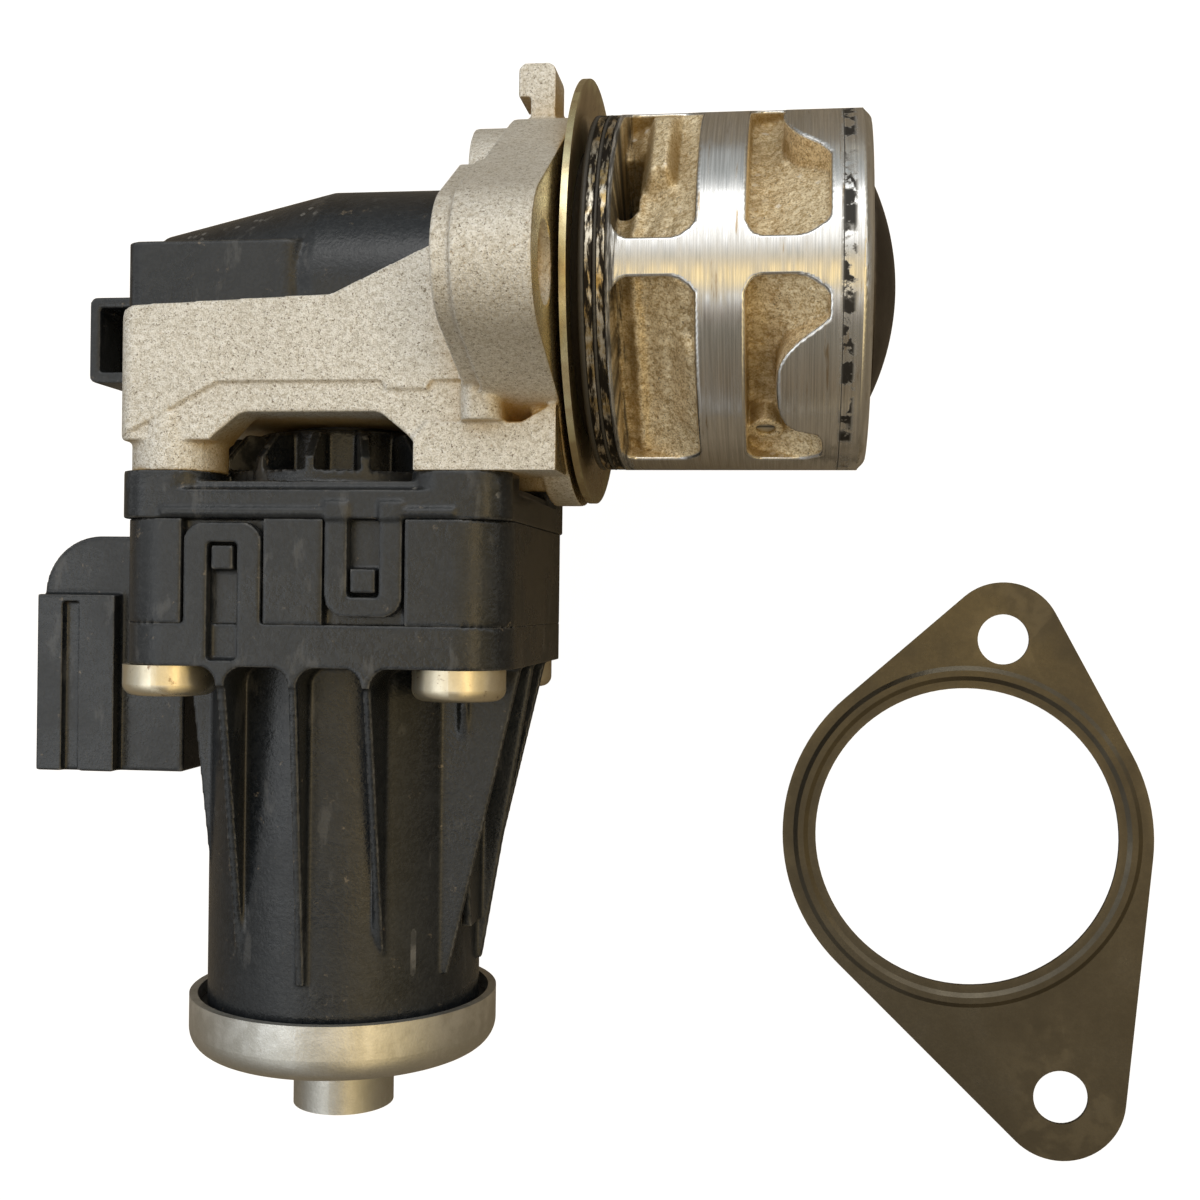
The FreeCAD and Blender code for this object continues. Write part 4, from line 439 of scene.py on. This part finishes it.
def steelFinish(name, base, shade, roughness, spots, metallic=0.9, relief=0.12):
    # plated, tinted or bare steel, with clouds of tone and small rust or dirt spots
    look = steelLook
    material, tree, skin = startMaterial(name, roughness, metallic)
    grain = useGroup(tree, "Cast Grain", {**look["grain"], "Fleck Share": spots})
    edge = useGroup(tree, "Edge Wear And Corner Shade", look["edges"])
    cloud = useGroup(tree, "Patches", look["clouds"])["Mask"]
    tone = blendColour(tree, cloud, base, shade)
    tone = blendColour(tree, remap(tree, grain["Height"], *look["grainShade"]), tone, shade)
    tone = tint(tree, tone, grain["Flecks"], look["rust"], look["spotShare"])
    # rust colour in concave corners: rust and painted shade
    tone = tint(tree, tone, edge["Dirt And Shade"], look["rust"], look["dirtAndShadeShare"])
    rubbed = tuple(min(1.0, part * look["rubbedGain"]) for part in base[:3]) + (1,)
    tone = tint(tree, tone, edge["Worn"], rubbed, look["rubbedShare"])
    feed(tree, skin["Base Color"], tone)
    feed(tree, skin["Roughness"], between(tree, cloud, roughness + look["smoother"],
                                          roughness + look["rougher"]))
    feed(tree, skin["Normal"], bump(tree, grain["Height"], relief, look["grainDepth"]))
    return material


ringLook = {
    "bare": (0.66, 0.61, 0.51, 1), "soot": (0.022, 0.018, 0.014, 1), "gold": (0.42, 0.30, 0.13, 1),
    "lines": {"Pitch": 0.3, "Smear Length": 0.5},
    "flecks": {"Scale": 380.0, "Cover": 0.5, "Softness": 0.1},
    "sootRange": (0.40, 0.54), "roughness": (0.22, 0.5), "lineRelief": (0.25, 0.05),
}


def sootedIron():
    # iron with soot that is wiped away in streaks round the spigot's axis
    look = ringLook
    material, tree, skin = startMaterial("sootedIron", 0.3, 0.9)
    turned = useGroup(tree, "Turned Lines", look["lines"])
    fleck = useGroup(tree, "Patches", look["flecks"])["Mask"]
    soot = remap(tree, turned["Smears"], *look["sootRange"])
    tone = blendColour(tree, fleck, look["bare"], look["gold"])
    feed(tree, skin["Base Color"], blendColour(tree, soot, tone, look["soot"]))
    feed(tree, skin["Roughness"], between(tree, soot, *look["roughness"]))
    feed(tree, skin["Normal"], bump(tree, turned["Lines"], *look["lineRelief"]))
    return material


finishes = {"cast_aluminium": castAluminium(), "machined_aluminium": cageMetal(),
            "black_plastic": blackPlastic(), "dark_iron": sootedIron()}

insulator = {"metallic": 0.0}
steels = [
    # slot, material, base colour, shade colour, roughness, share of spots, other settings
    ("heat_tinted_steel", "heatTintedSteel", (0.82, 0.68, 0.42), (0.42, 0.31, 0.16), 0.30, 0.4, {}),
    ("gasket_steel", "gasketSteel", (0.110, 0.094, 0.066), (0.066, 0.057, 0.042), 0.32, 0.2, {}),
    ("bright_steel", "brightSteel", (0.62, 0.61, 0.58), (0.46, 0.45, 0.42), 0.25, 0.1, {}),
    ("sooted_steel", "sootedSteel", (0.11, 0.095, 0.075), (0.05, 0.04, 0.032), 0.46, 0.2, {}),
    ("zinc_steel", "zincSteel", (0.70, 0.69, 0.65), (0.46, 0.45, 0.40), 0.38, 0.26, {"relief": 0.4}),
    ("zinc_screws", "zincScrews", (0.88, 0.80, 0.62), (0.66, 0.59, 0.44), 0.32, 0.42, {}),
    ("natural_nylon", "naturalNylon", (0.74, 0.68, 0.55), (0.66, 0.60, 0.48), 0.45, 0.05, insulator),
    ("circuit_board", "circuitBoard", (0.02, 0.12, 0.04), (0.015, 0.09, 0.03), 0.4, 0.05, insulator),
    ("seal_rubber", "sealRubber", (0.018, 0.018, 0.018), (0.03, 0.028, 0.026), 0.6, 0.1, insulator),
    ("sintered_bronze", "sinteredBronze", (0.45, 0.28, 0.14), (0.33, 0.20, 0.10), 0.5, 0.2, {}),
    ("brass_pinion", "brassPinion", (0.70, 0.52, 0.22), (0.60, 0.43, 0.18), 0.3, 0.1, {}),
    ("copper_winding", "copperWinding", (0.66, 0.30, 0.14), (0.50, 0.20, 0.09), 0.32, 0.1, {}),
    ("tin_terminals", "tinTerminals", (0.62, 0.60, 0.55), (0.52, 0.50, 0.46), 0.3, 0.1, {}),
    ("carbon", "carbonBrush", (0.03, 0.03, 0.03), (0.05, 0.05, 0.05), 0.55, 0.05, {"metallic": 0.2}),
]
for slot, name, base, shade, roughness, spots, more in steels:
    finishes[slot] = steelFinish(name, (*base, 1), (*shade, 1), roughness, spots, **more)
print("finishes ready:", len(finishes))


# the CAD nodes stay where they are and get rounded edges and a finish

slotOfNode = {entry["node"]: entry["material_slot"] for entry in frame["record"]["subparts"]}

weldDistance = 0.004
softCast = {"voxel": 0.25, "smooth": 0.5, "rounds": 3}
softMoulded = {"voxel": 0.30, "smooth": 0.5, "rounds": 2}
roundedNodes = {"valve_body": softCast, "gear_cover": softMoulded, "gear_case": softMoulded,
                "motor_housing": softMoulded, "linkage_cover": softMoulded}


def roundEdges(body, settings):
    weld = body.modifiers.new("weld", "WELD")
    weld.merge_threshold = weldDistance * mm
    remesh = body.modifiers.new("remesh", "REMESH")
    remesh.mode = "VOXEL"
    remesh.voxel_size = settings["voxel"] * mm
    remesh.use_smooth_shade = True
    soften = body.modifiers.new("soften", "SMOOTH")
    soften.factor = settings["smooth"]
    soften.iterations = settings["rounds"]


def remeshedCopy(node, name, settings):
    # a free copy of a CAD node, in even small faces that can be sculpted
    copy = bpy.data.objects.new(name, nodes[node].data.copy())
    bpy.context.scene.collection.objects.link(copy)
    roundEdges(copy, settings)
    shown = copy.evaluated_get(bpy.context.evaluated_depsgraph_get())
    mesh = bpy.data.meshes.new_from_object(shown)
    copy.modifiers.clear()
    copy.data = mesh
    return copy


def readPoints(mesh, field):
    flat = np.empty(len(mesh.vertices) * 3)
    mesh.vertices.foreach_get(field, flat)
    return flat.reshape(-1, 3)


def ramp(value, low, high):
    share = np.clip((value - low) / (high - low), 0.0, 1.0)
    return share * share * (3 - 2 * share)


def plateau(value, low, high, edge):
    # 1 between low and high, falling to 0 over the edge's width on both sides
    return ramp(value, low - edge, low + edge) * (1 - ramp(value, high - edge, high + edge))


def lumps(points, form):
    # soft uneven heights at the points; the shift picks another part of the noise
    scale, shift = form["scale"], Vector(form["shift"])
    return np.array([noise.noise(Vector(point) * scale + shift) for point in points]) * form["height"]


cageShape = {
    # millimetres and degrees
    "mesh": {"voxel": 0.30, "smooth": 0.5, "rounds": 3},
    "barrel": {"radius": 25.0, "depth": 0.22, "from": 6.1, "to": 39.2, "facing": 0.8},
    "floor": {"below": 24.45, "above": 14.2, "from": 6.2, "to": 36.8, "facing": 0.35, "cover": 0.5},
    "windows": {"angle": 40.6, "half": 38, "radius": 20.0, "leftEnd": 18},
    "finger": {"along": (10.4, 13.9), "across": (-2.2, 16.0), "rise": 3.6, "edge": 0.9},
    "saddle": {"along": (15.2, 20.0), "across": (-7.5, 4.5), "rise": 1.6, "edge": 1.5},
    "lip": {"along": 9.5, "width": 0.9, "rise": 0.9},
    "grain": {"scale": 1.9, "shift": (3.0, 3.0 * 0.7, -3.0), "height": 0.12},
    "swell": {"scale": 0.42, "shift": (9.0, 9.0 * 0.7, -9.0), "height": 0.30},
    "screwBoss": {"along": 26.5, "angle": -65.0, "clear": 3.2}, "leastRadius": 0.1,
}


def fromWindow(angle, middle):
    # degrees round the spigot from a window's middle, between -180 and 180
    return (angle + 180 - middle) % 360 - 180


def mound(form, along, across):
    return form["rise"] * plateau(along, *form["along"], form["edge"]) * plateau(
        across, *form["across"], form["edge"])


def cageCasting():
    # the spigot: its barrel stays true, its window floors get the soft uneven forms of the casting
    plan = cageShape
    barrel, floor, windows = plan["barrel"], plan["floor"], plan["windows"]
    boss, lip = plan["screwBoss"], plan["lip"]
    cage = remeshedCopy("valve_cage", "cageCasting", plan["mesh"])
    place = readPoints(cage.data, "co") / mm
    normal = readPoints(cage.data, "normal")
    along = place[:, 0]
    radius = np.hypot(place[:, 1], place[:, 2])
    angle = np.degrees(np.arctan2(place[:, 1], place[:, 2]))
    outward = normal[:, 1] * place[:, 1] + normal[:, 2] * place[:, 2]
    outward /= np.maximum(radius, plan["leastRadius"])
    fromBoss = np.hypot(along - boss["along"], radius * np.sin(np.radians(angle - boss["angle"])))
    onFloor = (fromBoss > boss["clear"]) & (radius < floor["below"]) & (radius > floor["above"])
    onFloor &= (outward > floor["facing"]) & (along > floor["from"]) & (along < floor["to"])
    index = np.nonzero(onFloor)[0]
    floorAlong = along[index]
    grain = lumps(place[index], plan["grain"]) + lumps(place[index], plan["swell"])
    offset = fromWindow(angle[index], windows["angle"])
    offsetLow = fromWindow(angle[index], -windows["angle"])
    upper = np.abs(offset) < windows["half"]
    lower = np.abs(offsetLow) < windows["half"]
    rise = upper * mound(plan["finger"], floorAlong, np.radians(offset) * windows["radius"])
    rise += lower * mound(plan["saddle"], floorAlong, np.radians(offsetLow) * windows["radius"])
    fromLip = (floorAlong - lip["along"]) / lip["width"]
    rise += (floorAlong < windows["leftEnd"]) * lip["rise"] * np.exp(-fromLip ** 2)
    wanted = np.minimum(radius[index] + grain + rise, barrel["radius"] - floor["cover"])
    place[index, 1:] *= (wanted / radius[index])[:, None]
    # the turned surface is put back on its true radius
    onBarrel = (radius > barrel["radius"] - barrel["depth"]) & (outward > barrel["facing"])
    onBarrel &= (along > barrel["from"]) & (along < barrel["to"])
    index = np.nonzero(onBarrel)[0]
    place[index, 1:] *= (barrel["radius"] / radius[index])[:, None]
    cage.data.vertices.foreach_set("co", (place * mm).reshape(-1))
    cage.data.update()
    cage.data.materials.clear()
    cage.data.materials.append(finishes["machined_aluminium"])
    for face in cage.data.polygons:
        face.use_smooth = True
    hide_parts("valve_cage")
    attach(cage, "housing")
    print("cage casting shaped:", len(place), "points")


for name, body in nodes.items():
    body.data.materials.clear()
    body.data.materials.append(finishes[slotOfNode[name]])
    if name in roundedNodes:
        roundEdges(body, roundedNodes[name])
cageCasting()
print("CAD nodes finished")


floorPlan = {"height": cadLow.z - 0.02 * mm, "reach": 1.6, "middle": (0.0, -0.03), "glow": 0.97,
             "near": (0.17, 0.14, 0.10, 1), "far": (0.22, 0.19, 0.15, 1),
             "fibres": {"Scale": 30.0, "Cover": 0.5, "Softness": 0.3}}


def paperFloor():
    # pale paper under its own light, which is kept out of the part's reflections
    mesh = bpy.data.meshes.new("paperFloor")
    form = bmesh.new()
    bmesh.ops.create_grid(form, x_segments=1, y_segments=1, size=floorPlan["reach"])
    form.to_mesh(mesh)
    form.free()
    paper = bpy.data.objects.new("paperFloor", mesh)
    paper.location = (*floorPlan["middle"], floorPlan["height"])
    bpy.context.scene.collection.objects.link(paper)
    material, tree, skin = startMaterial("whitePaper", 0.8, 0.0, Emission_Color=(1, 1, 1, 1))
    fibre = useGroup(tree, "Patches", floorPlan["fibres"])["Mask"]
    feed(tree, skin["Base Color"], blendColour(tree, fibre, floorPlan["near"], floorPlan["far"]))
    seen = put(tree, "LightPath").outputs["Is Camera Ray"]
    feed(tree, skin["Emission Strength"], times(tree, seen, floorPlan["glow"]))
    mesh.materials.append(material)


cameraPlan = {"place": (31.1, -43.9, 215.3), "tilt": 7.5, "roll": 0.7, "lens": 45, "clip": (0.01, 10)}


def photoCamera():
    tilt, roll = math.radians(cameraPlan["tilt"]), math.radians(cameraPlan["roll"])
    right = Vector((math.cos(tilt) * math.cos(roll), math.sin(roll), -math.sin(tilt) * math.cos(roll)))
    up = Vector((-math.sin(roll) * math.cos(tilt), math.cos(roll), math.sin(roll) * math.sin(tilt)))
    back = Vector((math.sin(tilt), 0, math.cos(tilt)))
    turn = Matrix((right, up, back)).transposed().to_4x4()
    data = bpy.data.cameras.new("photoCamera")
    data.lens = cameraPlan["lens"]
    data.clip_start, data.clip_end = cameraPlan["clip"]
    eye = bpy.data.objects.new("photoCamera", data)
    eye.matrix_world = Matrix.Translation(Vector(cameraPlan["place"]) * mm) @ turn
    bpy.context.scene.collection.objects.link(eye)
    bpy.context.scene.camera = eye


lightPlan = [
    # name, place in metres, width and height, glow, colour
    ("whiteBehind", (0.0, 0.50, 0.52), (0.60, 0.26), 1.2, (1.0, 0.99, 0.97)),
    ("goldRight", (0.40, -0.04, 0.62), (0.30, 0.20), 1.2, (1.0, 0.74, 0.38)),
    ("coolLeft", (-0.46, -0.10, 0.60), (0.26, 0.40), 1.0, (0.92, 0.96, 1.0)),
]
lightsAimAt = Vector((0.0, -0.04, 0.0))


def studioLights():
    for name, place, size, glow, colour in lightPlan:
        data = bpy.data.lights.new(name, "AREA")
        data.shape = "RECTANGLE"
        data.size, data.size_y = size
        data.energy = glow * math.pi * size[0] * size[1]
        data.color = colour
        lamp = bpy.data.objects.new(name, data)
        lamp.location = place
        lamp.rotation_euler = (lightsAimAt - Vector(place)).to_track_quat("-Z", "Y").to_euler()
        bpy.context.scene.collection.objects.link(lamp)


roomPlan = {
    # tones round the room from straight up, towards the back and then towards the right; the degrees
    # are nominal, because the soft remap in toneRound draws them in towards straight up
    "back": [(-120, (0.06, 0.045, 0.025)), (-92, (0.15, 0.115, 0.075)), (-45, (0.17, 0.155, 0.125)),
             (-37, (0.20, 0.17, 0.14)), (-28, (0.38, 0.34, 0.30)), (-22, (0.62, 0.62, 0.60)),
             (-18, (0.95, 0.95, 0.93)), (-14, (0.60, 0.55, 0.48)), (-8, (0.95, 0.78, 0.46)),
             (-2, (1.15, 0.90, 0.48)), (8, (1.08, 0.84, 0.46)), (14, (0.66, 0.57, 0.42)),
             (20, (0.56, 0.53, 0.45)), (27, (0.72, 0.71, 0.68)), (34, (1.30, 1.29, 1.26)),
             (62, (1.25, 1.25, 1.24)), (74, (0.85, 0.87, 0.88)), (90, (0.36, 0.38, 0.38)),
             (120, (0.22, 0.22, 0.21))],
    "side": [(-120, (0.30, 0.30, 0.29)), (-64, (0.50, 0.50, 0.49)), (-43, (0.86, 0.88, 0.88)),
             (-30, (0.97, 1.00, 1.01)), (-14, (0.76, 0.77, 0.74)), (0, (0.62, 0.60, 0.50)),
             (14, (0.82, 0.68, 0.42)), (26, (1.15, 0.90, 0.50)), (42, (1.08, 0.84, 0.46)),
             (54, (0.84, 0.66, 0.36)), (66, (0.66, 0.52, 0.28)), (90, (0.46, 0.36, 0.19)),
             (120, (0.28, 0.21, 0.11))],
    "reach": 120, "strength": 1.12, "front": (0.12, 0.10, 0.075, 1),
    # degrees over which the front dims, and over which the side tones take over
    "frontDims": (-70, -30, 0.75, 0.0), "sideFrom": (8, 30), "backKeeps": (18, 34, 1.0, 0.25),
}


def toneRound(tree, degrees, stops):
    # a colour ramp over the room's reach to both sides of straight up
    reach = roomPlan["reach"]
    band = put(tree, "ValToRGB")
    bar = band.color_ramp
    while len(bar.elements) < len(stops):
        bar.elements.new(0.5)
    for stop, (angle, colour) in zip(bar.elements, stops):
        stop.position = (angle + reach) / (2 * reach)
        stop.color = (*colour, 1)
    feed(tree, band.inputs["Fac"], remap(tree, degrees, -reach, reach))
    return band.outputs["Color"]


def studioRoom():
    # a room with a white window wall behind, gold lamps above and a dark front
    world = bpy.data.worlds.new("paleRoom")
    bpy.context.scene.world = world
    world.use_nodes = True
    tree = world.node_tree
    sky = tree.nodes["Background"].inputs
    parts = split(tree, put(tree, "TexCoord").outputs["Generated"])
    toBack = times(tree, maths(tree, "ARCTAN2", parts["Y"], parts["Z"]), math.degrees(1))
    toRight = times(tree, maths(tree, "ARCTAN2", parts["X"], parts["Z"]), math.degrees(1))
    back = toneRound(tree, toBack, roomPlan["back"])
    side = toneRound(tree, toRight, roomPlan["side"])
    dimmed = blendColour(tree, remap(tree, toBack, *roomPlan["frontDims"]), side, roomPlan["front"])
    aside = remap(tree, maths(tree, "ABSOLUTE", toRight), *roomPlan["sideFrom"])
    share = times(tree, aside, remap(tree, toBack, *roomPlan["backKeeps"]))
    feed(tree, sky["Color"], blendColour(tree, share, back, dimmed))
    sky["Strength"].default_value = roomPlan["strength"]


paperFloor()
photoCamera()
studioLights()
studioRoom()
bpy.context.scene.view_settings.view_transform = "Standard"
print("studio ready")
